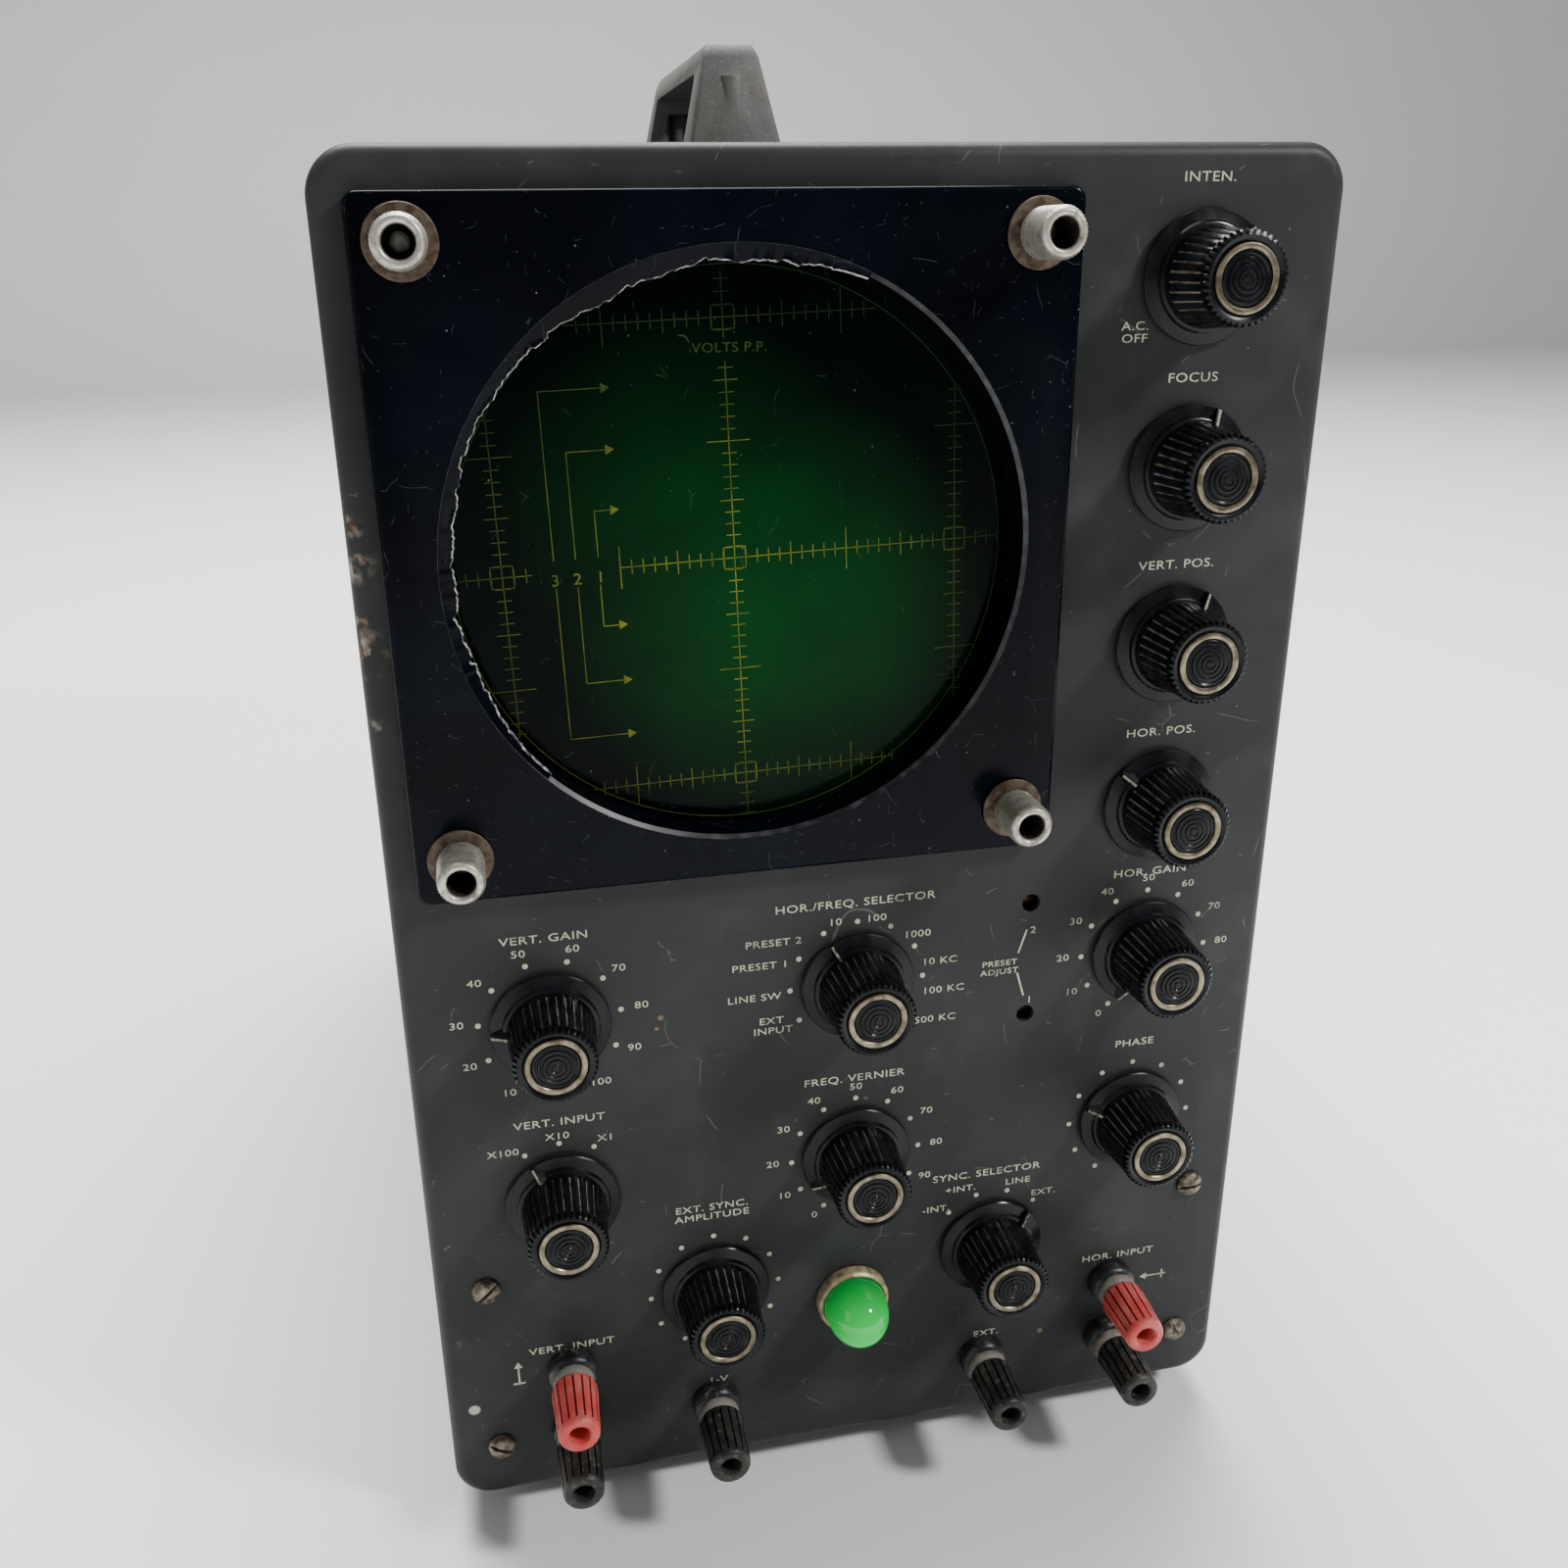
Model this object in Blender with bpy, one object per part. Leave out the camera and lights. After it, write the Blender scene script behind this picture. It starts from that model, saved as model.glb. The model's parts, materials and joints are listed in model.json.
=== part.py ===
"""Bench oscilloscope with a five-inch cathode ray tube, built as separate parts.

Metres, +Z up, the front panel faces -Y.  The origin is on the ground, under the
middle of the whole object.  Most pieces are placed by at(x, depth, height):
x from the middle, depth behind the panel's face, height above its lower edge.
"""

import math

import bmesh
import bpy
from mathutils import Matrix, Vector

# ---------------------------------------------------------------- dimensions
PANEL_W = 0.219            # eight and five eighths inches
PANEL_H = 0.335
CORNER_R = 0.010           # corners of the panel and of the case
SHEET = 0.0015             # thickness of the panel's sheet
FLANGE = 0.012             # how far the panel's edge is turned back
CASE_DEPTH = 0.380
FOOT_H = 0.008
GAP = 0.0003               # between pieces that touch
FRONT_REACH = 0.0240       # binding posts, ahead of the panel
REAR_REACH = 0.0125        # fuse cap, behind the case
PANEL_Y = (FRONT_REACH - CASE_DEPTH - REAR_REACH) / 2

TUBE_X = -0.027            # axis of the cathode ray tube
TUBE_Z = 0.252
SCREEN_R = 0.0635          # five-inch opening
BEZEL_X = -0.0280          # middle of the bezel and of its four studs
BEZEL_Z = 0.2525
BEZEL_W = 0.1492
BEZEL_H = 0.148
BEZEL_T = 0.0045
STUD_Z = 0.2532
STUD_DX = 0.0644
STUD_DZ = 0.0640
STUD_R = 0.0021

DECK_Z = 0.172             # chassis deck
CHASSIS_X = 0.102          # chassis side walls
CHASSIS_T = 0.0016
CHASSIS_FRONT = 0.045
CHASSIS_REAR = 0.365

KNOB_R = 0.0143            # skirt
KNOB_BASE = 0.0010         # skirt's clearance from the panel
KNOB_END = 0.0195          # front of the knob, ahead of the panel
SHAFT_R = 0.0030
BUSH_R = 0.0045

POST_LEFT = -0.0768        # signal and ground posts
POST_RIGHT = 0.0748
POST_CALIBRATION = -0.0390
POST_SYNC = 0.0372
POST_HIGH = 0.0393
POST_LOW = 0.0203

# Each control: x, height, turn of its pointer from twelve o'clock, kind.
CONTROLS = {
    "knob_intensity": (0.0765, 0.3078, 45, "pot"),
    "knob_focus": (0.0765, 0.2668, 24, "pot"),
    "knob_vertical_position": (0.0765, 0.2256, 33, "pot"),
    "knob_horizontal_position": (0.0765, 0.1846, -50, "pot"),
    "knob_horizontal_gain": (0.0764, 0.1436, -150, "pot"),
    "knob_phase": (0.0764, 0.0931, -67, "pot"),
    "knob_vertical_gain": (-0.0755, 0.1422, -91, "pot"),
    "knob_vertical_input": (-0.0757, 0.0918, -30, "switch"),
    "knob_sync_amplitude": (-0.0380, 0.0572, -150, "pot"),
    "knob_frequency_selector": (0.0, 0.1437, -30, "switch"),
    "knob_frequency_vernier": (0.0, 0.0934, -120, "pot"),
    "knob_sync_selector": (0.0383, 0.0582, 45, "switch"),
}

# Each binding post: x, height, colour of its cap.
POSTS = {
    "post_cap_vertical_signal": (POST_LEFT, POST_HIGH, "red"),
    "post_cap_vertical_ground": (POST_LEFT, POST_LOW, "black"),
    "post_cap_calibration": (POST_CALIBRATION, POST_LOW, "black"),
    "post_cap_external_sync": (POST_SYNC, POST_LOW, "black"),
    "post_cap_horizontal_signal": (POST_RIGHT, POST_HIGH, "red"),
    "post_cap_horizontal_ground": (POST_RIGHT, POST_LOW, "black"),
}

BEZEL_STUDS = {
    "thumb_nut_upper_left": (BEZEL_X - STUD_DX, STUD_Z + STUD_DZ),
    "thumb_nut_upper_right": (BEZEL_X + STUD_DX, STUD_Z + STUD_DZ),
    "thumb_nut_lower_left": (BEZEL_X - STUD_DX, STUD_Z - STUD_DZ),
    "thumb_nut_lower_right": (BEZEL_X + STUD_DX, STUD_Z - STUD_DZ),
}

PRESETS = {
    "preset_adjuster_2": (0.0450, 0.1605),
    "preset_adjuster_1": (0.0450, 0.1290),
}

LAMP = (-0.0008, 0.0479)
PANEL_SCREWS = [(sx * 0.0967, z) for sx in (-1, 1) for z in (0.017, 0.068)]
HANDLE_FRONT = 0.134       # depth of the handle's front foot
HANDLE_REAR = 0.248
HANDLE_LEG = 0.017
HANDLE_H = 0.035
SMALL_TUBES = [(x, y) for x in (0.053, 0.085) for y in (0.100, 0.145, 0.190, 0.235)]
CAPACITORS = [(-0.083, y) for y in (0.225, 0.262, 0.299)]
TRANSFORMER = (0.058, 0.312)
REAR_CORD = (-0.050, 0.045)
REAR_FUSE = (0.050, 0.045)
REAR_SCREWS = [(sx * 0.096, z) for sx in (-1, 1) for z in (0.022, 0.313)]

# Colour, roughness, metallic.
COLOURS = {
    "panel_paint": ((0.055, 0.060, 0.056), 0.55, 0.0),
    "case_paint": ((0.070, 0.075, 0.072), 0.60, 0.0),
    "bezel_black": ((0.006, 0.007, 0.011), 0.22, 0.0),
    "filter_green": ((0.004, 0.055, 0.016), 0.10, 0.0),
    "tube_glass": ((0.35, 0.45, 0.40), 0.05, 0.0),
    "dark_phenolic": ((0.035, 0.022, 0.015), 0.45, 0.0),
    "shield_metal": ((0.42, 0.42, 0.41), 0.38, 1.0),
    "soft_rubber": ((0.020, 0.020, 0.020), 0.85, 0.0),
    "zinc_steel": ((0.48, 0.47, 0.44), 0.42, 1.0),
    "gun_nickel": ((0.60, 0.58, 0.54), 0.30, 1.0),
    "nut_nickel": ((0.58, 0.56, 0.52), 0.35, 1.0),
    "knob_black": ((0.012, 0.012, 0.013), 0.30, 0.0),
    "post_red": ((0.42, 0.030, 0.025), 0.38, 0.0),
    "post_black": ((0.018, 0.019, 0.020), 0.40, 0.0),
    "collar_black": ((0.014, 0.015, 0.017), 0.35, 0.0),
    "brass": ((0.55, 0.43, 0.24), 0.40, 1.0),
    "jewel_green": ((0.0, 0.42, 0.09), 0.06, 0.0),
    "bulb_glass": ((0.80, 0.80, 0.75), 0.05, 0.0),
    "handle_grey": ((0.16, 0.165, 0.16), 0.55, 0.0),
    "core_steel": ((0.09, 0.09, 0.10), 0.45, 0.8),
}


# ------------------------------------------------------------------- helpers
def clear_scene():
    for ob in list(bpy.data.objects):
        bpy.data.objects.remove(ob, do_unlink=True)


def at(x, depth, height):
    return Vector((x, PANEL_Y + depth, FOOT_H + height))


def material(slot):
    found = bpy.data.materials.get(slot)
    if found:
        return found
    colour, roughness, metallic = COLOURS[slot]
    made = bpy.data.materials.new(slot)
    made.use_nodes = True
    shader = made.node_tree.nodes["Principled BSDF"]
    shader.inputs["Base Color"].default_value = (*colour, 1.0)
    shader.inputs["Roughness"].default_value = roughness
    shader.inputs["Metallic"].default_value = metallic
    return made


def merge(bm, piece, matrix):
    """Put a finished solid into the node's mesh, moved by matrix."""
    bmesh.ops.recalc_face_normals(piece, faces=piece.faces)
    piece.transform(matrix)
    mesh = bpy.data.meshes.new("piece")
    piece.to_mesh(mesh)
    bm.from_mesh(mesh)
    bpy.data.meshes.remove(mesh)
    piece.free()


def add_lathe(bm, outline, place, segments, along="depth"):
    """Spin an outline of (radius, distance) points about a line through place.

    An outline that starts and ends on the axis is a solid.  Any other outline
    is closed on itself and becomes a ring.
    """
    piece = bmesh.new()
    verts = [piece.verts.new((r, d, 0)) for r, d in outline]
    edges = [piece.edges.new(pair) for pair in zip(verts, verts[1:])]
    if outline[0][0] > 0 or outline[-1][0] > 0:
        edges.append(piece.edges.new((verts[-1], verts[0])))
    bmesh.ops.spin(
        piece,
        geom=verts + edges,
        cent=(0, 0, 0),
        axis=(0, 1, 0),
        angle=math.tau,
        steps=segments,
        use_merge=True,
    )
    bmesh.ops.remove_doubles(piece, verts=piece.verts, dist=1e-6)
    turn = Matrix()
    if along == "height":
        turn = Matrix.Rotation(math.pi / 2, 4, "X")
    merge(bm, piece, Matrix.Translation(place) @ turn)


def add_box(bm, low, high):
    """A box between two corners."""
    piece = bmesh.new()
    bmesh.ops.create_cube(piece, size=1.0)
    size = high - low
    scale = Matrix.Diagonal((*size, 1.0))
    merge(bm, piece, Matrix.Translation((low + high) / 2) @ scale)


def rounded_outline(width, height, radius, steps):
    """Corner points of a rounded rectangle, anticlockwise, centred on zero."""
    points = []
    for quarter in range(4):
        angle = quarter * math.pi / 2
        cx = math.copysign(width / 2 - radius, math.cos(angle + math.pi / 4))
        cz = math.copysign(height / 2 - radius, math.sin(angle + math.pi / 4))
        for step in range(steps + 1):
            a = angle + step * math.pi / 2 / steps
            points.append((cx + radius * math.cos(a), cz + radius * math.sin(a)))
    return points


def add_slab(bm, centre, width, height, radius, front, back, edge=0.0, steps=4):
    """A rounded-rectangle block between two depths; edge rounds its front rim."""
    piece = bmesh.new()
    levels = [(front, edge), (front + edge * 0.3, edge * 0.3), (front + edge, 0.0)]
    levels = levels if edge > 0 else [(front, 0.0)]
    levels = levels + [(back, 0.0)]
    rings = []
    for depth, inset in levels:
        outline = rounded_outline(width - 2 * inset, height - 2 * inset, radius - inset, steps)
        rings.append([piece.verts.new((x, depth, z)) for x, z in outline])
    piece.faces.new(rings[0])
    piece.faces.new(rings[-1])
    for low, high in zip(rings, rings[1:]):
        for i, vert in enumerate(low):
            j = (i + 1) % len(low)
            piece.faces.new((vert, low[j], high[j], high[i]))
    merge(bm, piece, Matrix.Translation(centre))


def make_object(name, bm, origin=None, smooth=True):
    """Turn a mesh in world places into an object whose origin is at origin."""
    origin = origin or Vector((0, 0, 0))
    bm.transform(Matrix.Translation(-origin))
    mesh = bpy.data.meshes.new(name)
    bm.to_mesh(mesh)
    bm.free()
    ob = bpy.data.objects.new(name, mesh)
    ob.location = origin
    bpy.context.scene.collection.objects.link(ob)
    if smooth:
        shade(ob)
    return ob


def shade(ob):
    mesh = ob.data
    mesh.shade_smooth()
    mesh.set_sharp_from_angle(angle=math.radians(35))


def node(name, bm, slot, origin=None):
    ob = make_object(name, bm, origin)
    ob.data.materials.append(material(slot))
    return ob


def combine(target, name, bm, operation="DIFFERENCE"):
    """Cut a hidden solid out of the target, or join it on."""
    tool = make_object(name, bm, smooth=False)
    tool.hide_render = True
    tool.display_type = "WIRE"
    boolean = target.modifiers.new(name, "BOOLEAN")
    boolean.operation = operation
    boolean.solver = "EXACT"
    boolean.object = tool


def apply_modifiers(ob):
    bpy.context.view_layer.objects.active = ob
    for modifier in list(ob.modifiers):
        bpy.ops.object.modifier_apply(modifier=modifier.name)


def drill(bm, places, radius, front, back, segments=12):
    for x, z in places:
        outline = [(0, front), (radius, front), (radius, back), (0, back)]
        add_lathe(bm, outline, at(x, 0, z), segments)


# ------------------------------------------------------- panel, case, chassis
def front_panel():
    bm = bmesh.new()
    middle = at(0, 0, PANEL_H / 2)
    add_slab(bm, middle, PANEL_W, PANEL_H, CORNER_R, 0, FLANGE, edge=0.0035)
    panel = node("front_panel", bm, "panel_paint")
    inside = bmesh.new()
    width = PANEL_W - 2 * SHEET
    height = PANEL_H - 2 * SHEET
    add_slab(inside, middle, width, height, CORNER_R - SHEET, SHEET, FLANGE + 0.01, edge=0.003)
    combine(panel, "panel_inside", inside)
    holes = bmesh.new()
    front = -0.004
    back = 0.006
    drill(holes, [(TUBE_X, TUBE_Z)], SCREEN_R + 0.0035, front, back, 32)
    drill(holes, [(x, z) for x, z, turn, kind in CONTROLS.values()], BUSH_R + GAP, front, back, 8)
    drill(holes, [(x, z) for x, z, colour in POSTS.values()], 0.0038, front, back, 8)
    drill(holes, PRESETS.values(), 0.0024, front, back, 10)
    drill(holes, PANEL_SCREWS, 0.0023, front, back, 8)
    drill(holes, [LAMP], 0.0084, front, back, 14)
    combine(panel, "panel_holes", holes)
    studs = bmesh.new()
    drill(studs, BEZEL_STUDS.values(), STUD_R, -0.0090, SHEET - 0.0002, 8)
    combine(panel, "panel_bezel_studs", studs, "UNION")


def cabinet_shell():
    bm = bmesh.new()
    front = FLANGE + GAP
    wall = 0.0012
    middle = at(0, 0, PANEL_H / 2)
    add_slab(bm, middle, PANEL_W, PANEL_H, CORNER_R, front, CASE_DEPTH)
    shell = node("cabinet_shell", bm, "case_paint")
    inside = bmesh.new()
    width = PANEL_W - 2 * wall
    height = PANEL_H - 2 * wall
    add_slab(inside, middle, width, height, CORNER_R - wall, 0, CASE_DEPTH + 0.01)
    combine(shell, "shell_inside", inside)
    slots = bmesh.new()
    for i in range(8):
        depth = 0.235 + i * 0.014
        low = at(-PANEL_W, depth, 0.215)
        add_box(slots, low, at(PANEL_W, depth + 0.005, 0.265))
        low = at(-0.060, depth, -0.01)
        add_box(slots, low, at(0.060, depth + 0.005, 0.010))
    combine(shell, "shell_slots", slots)
    holes = bmesh.new()
    for depth in handle_bosses():
        outline = [(0, 0.32), (0.0026, 0.32), (0.0026, 0.34), (0, 0.34)]
        add_lathe(holes, outline, at(0, depth, 0), 10, along="height")
    combine(shell, "shell_handle_holes", holes)


def rear_cover():
    bm = bmesh.new()
    middle = at(0, 0, PANEL_H / 2)
    back = CASE_DEPTH - 0.0008
    width = PANEL_W - 0.003
    height = PANEL_H - 0.003
    add_slab(bm, middle, width, height, 0.0085, back - 0.010, back, steps=3)
    cover = node("rear_cover", bm, "case_paint")
    inside = bmesh.new()
    add_slab(inside, middle, width - 0.003, height - 0.003, 0.007, 0.3, back - 0.0015, steps=3)
    combine(cover, "cover_inside", inside)
    slots = bmesh.new()
    for i in range(8):
        height = 0.130 + i * 0.020
        for x in (-0.046, 0.046):
            low = at(x - 0.034, 0.370, height)
            add_box(slots, low, at(x + 0.034, 0.390, height + 0.005))
    combine(cover, "cover_slots", slots)
    holes = bmesh.new()
    drill(holes, [REAR_CORD], 0.0063, 0.37, 0.39)
    drill(holes, [REAR_FUSE], 0.0068, 0.37, 0.39)
    drill(holes, REAR_SCREWS, 0.0023, 0.37, 0.39, 8)
    combine(cover, "cover_holes", holes)


def main_chassis():
    """One folded sheet: deck, side walls, front wall and two panel tabs."""
    bm = bmesh.new()
    tab_depth = SHEET + GAP + CHASSIS_T / 2
    low = 0.012
    mid = 0.080

    def face(*corners):
        bm.faces.new([bm.verts.new(at(*corner)) for corner in corners])

    for side in (-1, 1):
        x = side * CHASSIS_X
        tab_x = side * 0.0915
        near = CHASSIS_FRONT
        far = CHASSIS_REAR
        face((x, near, mid), (x, far, mid), (x, far, DECK_Z), (x, near, DECK_Z))
        face((x, near, low), (x, far, low), (x, far, mid), (x, near, mid))
        face((x, tab_depth, low), (x, near, low), (x, near, mid), (x, tab_depth, mid))
        face((tab_x, tab_depth, low), (x, tab_depth, low), (x, tab_depth, mid), (tab_x, tab_depth, mid))
    wide = CHASSIS_X
    face(
        (-wide, CHASSIS_FRONT, DECK_Z),
        (wide, CHASSIS_FRONT, DECK_Z),
        (wide, CHASSIS_REAR, DECK_Z),
        (-wide, CHASSIS_REAR, DECK_Z),
    )
    face(
        (-wide, CHASSIS_FRONT, mid),
        (wide, CHASSIS_FRONT, mid),
        (wide, CHASSIS_FRONT, DECK_Z),
        (-wide, CHASSIS_FRONT, DECK_Z),
    )
    bmesh.ops.remove_doubles(bm, verts=bm.verts, dist=1e-6)
    bmesh.ops.recalc_face_normals(bm, faces=bm.faces)
    chassis = node("main_chassis", bm, "zinc_steel")
    solidify = chassis.modifiers.new("sheet", "SOLIDIFY")
    solidify.thickness = CHASSIS_T
    solidify.offset = 0.0
    solidify.use_even_offset = True
    holes = bmesh.new()
    for x, depth in SMALL_TUBES + CAPACITORS:
        low_z = DECK_Z - 0.005
        outline = [(0, low_z), (0.0088, low_z), (0.0088, DECK_Z + 0.005), (0, DECK_Z + 0.005)]
        add_lathe(holes, outline, at(x, depth, 0), 8, along="height")
    drill(holes, PANEL_SCREWS, 0.0023, 0.0, 0.008, 8)
    combine(chassis, "chassis_holes", holes)
    housings = bmesh.new()
    for x, z in PRESETS.values():
        body = [(0.0025, 0.0300), (0.0085, 0.0300), (0.0085, CHASSIS_FRONT), (0.0025, CHASSIS_FRONT)]
        add_lathe(housings, body, at(x, 0, z), 10)
    combine(chassis, "chassis_preset_housings", housings, "UNION")


# ----------------------------------------------------- cathode ray tube group
def bezel_plate():
    bm = bmesh.new()
    centre = at(TUBE_X, 0, TUBE_Z)
    front = -GAP - BEZEL_T
    middle = at(BEZEL_X, 0, BEZEL_Z)
    add_slab(bm, middle, BEZEL_W, BEZEL_H, 0.003, front, -GAP, edge=0.0012, steps=4)
    plate = node("bezel_plate", bm, "bezel_black")
    lip = bmesh.new()
    outline = [(0, -0.002), (SCREEN_R + 0.003, -0.002), (SCREEN_R + 0.003, 0.0045), (0, 0.0045)]
    add_lathe(lip, outline, centre, 36)
    combine(plate, "bezel_lip", lip, "UNION")
    cuts = bmesh.new()
    outline = [
        (0, -0.02),
        (SCREEN_R + 0.001, -0.02),
        (SCREEN_R + 0.001, front + 0.0003),
        (SCREEN_R, front + 0.0013),
        (SCREEN_R, 0.02),
        (0, 0.02),
    ]
    add_lathe(cuts, outline, centre, 36)
    drill(cuts, BEZEL_STUDS.values(), STUD_R + GAP, -0.02, 0.02, 8)
    combine(plate, "bezel_opening", cuts)


def screen_stack():
    centre = at(TUBE_X, 0, TUBE_Z)
    bm = bmesh.new()
    radius = SCREEN_R + 0.003
    outline = [(0, 0.0048), (radius, 0.0048), (radius, 0.0073), (0, 0.0073)]
    add_lathe(bm, outline, centre, 36)
    node("graticule_filter", bm, "filter_green", centre)
    bm = bmesh.new()
    outline = [
        (0.0610, 0.0076),
        (0.0710, 0.0076),
        (0.0710, 0.0230),
        (0.0673, 0.0230),
        (0.0673, 0.0125),
        (0.0610, 0.0098),
    ]
    add_lathe(bm, outline, centre, 20)
    node("crt_cushion_ring", bm, "soft_rubber", centre)


def crt_envelope():
    """Glass bulb: domed face, cone and neck, open behind where the base plugs in."""
    bm = bmesh.new()
    outer = [(0.0, 0.0098), (0.036, 0.0110), (0.0645, 0.0150), (0.0668, 0.0190), (0.0668, 0.0450)]
    outer += [(0.0560, 0.0800), (0.0310, 0.1400), (0.0190, 0.1720), (0.0190, 0.3080)]
    inner = [(0.0165, 0.3080), (0.0165, 0.1730), (0.0290, 0.1405), (0.0535, 0.0810), (0.0638, 0.0455)]
    inner += [(0.0638, 0.0200), (0.0350, 0.0160), (0.0, 0.0145)]
    add_lathe(bm, outer + inner, at(TUBE_X, 0, TUBE_Z), 20)
    node("crt_envelope", bm, "tube_glass", at(TUBE_X, 0, TUBE_Z))


def crt_base_and_socket():
    centre = at(TUBE_X, 0, TUBE_Z)
    bm = bmesh.new()
    outline = [(0.0, 0.3110), (0.0194, 0.3110), (0.0194, 0.3060)]
    outline += [(0.0208, 0.3060), (0.0208, 0.3300), (0, 0.3300)]
    add_lathe(bm, outline, centre, 16)
    base = node("crt_base", bm, "dark_phenolic", centre)
    pins = bmesh.new()
    for i in range(12):
        angle = i * math.tau / 12
        pin = centre + Vector((0.013 * math.sin(angle), 0, 0.013 * math.cos(angle)))
        add_lathe(pins, [(0, 0.3280), (0.0012, 0.3280), (0.0012, 0.3400), (0, 0.3400)], pin, 5)
    combine(base, "base_pins", pins, "UNION")
    bm = bmesh.new()
    outline = [(0, 0.3305), (0.0112, 0.3305), (0.0112, 0.3408), (0.0148, 0.3408), (0.0148, 0.3305)]
    outline += [(0.0215, 0.3305), (0.0215, 0.3440), (0.0150, 0.3470), (0, 0.3470)]
    add_lathe(bm, outline, centre, 16)
    node("crt_socket", bm, "dark_phenolic", centre)


def crt_shield():
    """Magnetic screen round the bulb and neck, open at both ends."""
    bm = bmesh.new()
    outer = [(0.0725, 0.0250), (0.0725, 0.0500), (0.0620, 0.0840), (0.0370, 0.1440), (0.0250, 0.1760)]
    outer += [(0.0250, 0.2980)]
    inner = [(0.0240, 0.2980), (0.0240, 0.1755), (0.0360, 0.1435), (0.0610, 0.0835), (0.0713, 0.0497)]
    inner += [(0.0713, 0.0250)]
    add_lathe(bm, outer + inner, at(TUBE_X, 0, TUBE_Z), 20)
    node("crt_shield", bm, "shield_metal", at(TUBE_X, 0, TUBE_Z))


def crt_neck_clamp():
    bm = bmesh.new()
    centre = at(TUBE_X, 0, TUBE_Z)
    low = at(TUBE_X - 0.010, 0.272, DECK_Z + CHASSIS_T / 2 + GAP)
    add_box(bm, low, at(TUBE_X + 0.010, 0.282, TUBE_Z - 0.010))
    clamp = node("crt_neck_clamp", bm, "zinc_steel")
    band = bmesh.new()
    add_lathe(band, [(0, 0.270), (0.0285, 0.270), (0.0285, 0.284), (0, 0.284)], centre, 20)
    combine(clamp, "clamp_band", band, "UNION")
    bore = bmesh.new()
    add_lathe(bore, [(0, 0.26), (0.0253, 0.26), (0.0253, 0.29), (0, 0.29)], centre, 20)
    combine(clamp, "clamp_bore", bore)


def electron_gun():
    """Cathode cup, grid and anode cylinders and deflection plates on two rods."""
    bm = bmesh.new()
    centre = at(TUBE_X, 0, TUBE_Z)
    for inner, outer, front, back in (
        (0.0040, 0.0055, 0.290, 0.300),
        (0.0062, 0.0072, 0.268, 0.288),
        (0.0078, 0.0088, 0.240, 0.265),
        (0.0062, 0.0072, 0.222, 0.237),
        (0.0040, 0.0155, 0.194, 0.195),
        (0.0060, 0.0158, 0.302, 0.3035),
    ):
        add_lathe(bm, [(inner, front), (outer, front), (outer, back), (inner, back)], centre, 8)
    gun = node("electron_gun", bm, "gun_nickel", centre)
    rods = bmesh.new()
    plates = bmesh.new()
    for side in (-1, 1):
        z = sorted((TUBE_Z + side * 0.0049, TUBE_Z + side * 0.0110))
        add_box(rods, at(TUBE_X - 0.001, 0.1935, z[0]), at(TUBE_X + 0.001, 0.3030, z[1]))
        x = TUBE_X + side * 0.006
        add_box(plates, at(x - 0.0004, 0.172, TUBE_Z - 0.007), at(x + 0.0004, 0.1945, TUBE_Z + 0.007))
        x = TUBE_X + side * 0.004
        add_box(plates, at(x - 0.0004, 0.1946, TUBE_Z - 0.004), at(x + 0.0004, 0.217, TUBE_Z + 0.004))
    combine(gun, "gun_rods", rods, "UNION")
    combine(gun, "gun_plates", plates, "UNION")


# --------------------------------------------------------------- bezel fixing
def thumb_nuts():
    """Hollow knurled nuts, each with its own captive washer."""
    face = -GAP - BEZEL_T - GAP
    top = face - 0.0008
    for name, (x, z) in BEZEL_STUDS.items():
        place = at(x, 0, z)
        bm = bmesh.new()
        outline = [(0.0024, face), (0.00725, face), (0.00725, top), (0.0044, top), (0.0050, top - 0.0009)]
        outline += [(0.0050, -0.0177), (0.0044, -0.0185), (0.0031, -0.0185), (0.0030, -0.0105)]
        outline += [(0.0024, -0.0097)]
        add_lathe(bm, outline, place, 12)
        node(name, bm, "nut_nickel", place)


# ------------------------------------------------------------------- controls
def knob_template():
    """Skirted knob: pointer wedge on the skirt, tapered barrel, domed end."""
    bm = bmesh.new()
    end = -KNOB_END
    outline = [(0, end), (0.0088, end), (0.0096, end + 0.0014), (0.0092, end + 0.0034)]
    outline += [(0.0104, -0.0042), (0.0108, -0.0032), (KNOB_R, -0.0019), (KNOB_R, -KNOB_BASE)]
    outline += [(0.0086, -KNOB_BASE), (0.0086, -0.0036), (SHAFT_R, -0.0036), (SHAFT_R, 0.0110), (0, 0.0110)]
    add_lathe(bm, outline, Vector((0, 0, 0)), 14)
    knob = make_object("knob_template", bm)
    wedge = bmesh.new()
    back = -0.0015
    corners = [(-0.0052, back, 0.0070), (0.0052, back, 0.0070), (0.0003, back, KNOB_R - 0.0001)]
    corners += [(-0.0003, back, KNOB_R - 0.0001), (0, -0.0062, 0.0070), (0, -0.0027, KNOB_R - 0.0001)]
    verts = [wedge.verts.new(corner) for corner in corners]
    for loop in ((0, 1, 2, 3), (0, 4, 1), (3, 2, 5), (0, 3, 5, 4), (1, 4, 5, 2)):
        wedge.faces.new([verts[i] for i in loop])
    bmesh.ops.recalc_face_normals(wedge, faces=wedge.faces)
    combine(knob, "knob_wedge", wedge, "UNION")
    apply_modifiers(knob)
    return knob


def knobs():
    template = knob_template()
    for name, (x, z, turn, kind) in CONTROLS.items():
        bm = bmesh.new()
        bm.from_mesh(template.data)
        ob = node(name, bm, "knob_black")
        ob.location = at(x, 0, z)
        ob.rotation_euler = (0, math.radians(turn), 0)
    for helper in ("knob_template", "knob_wedge"):
        bpy.data.objects.remove(bpy.data.objects[helper], do_unlink=True)


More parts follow.
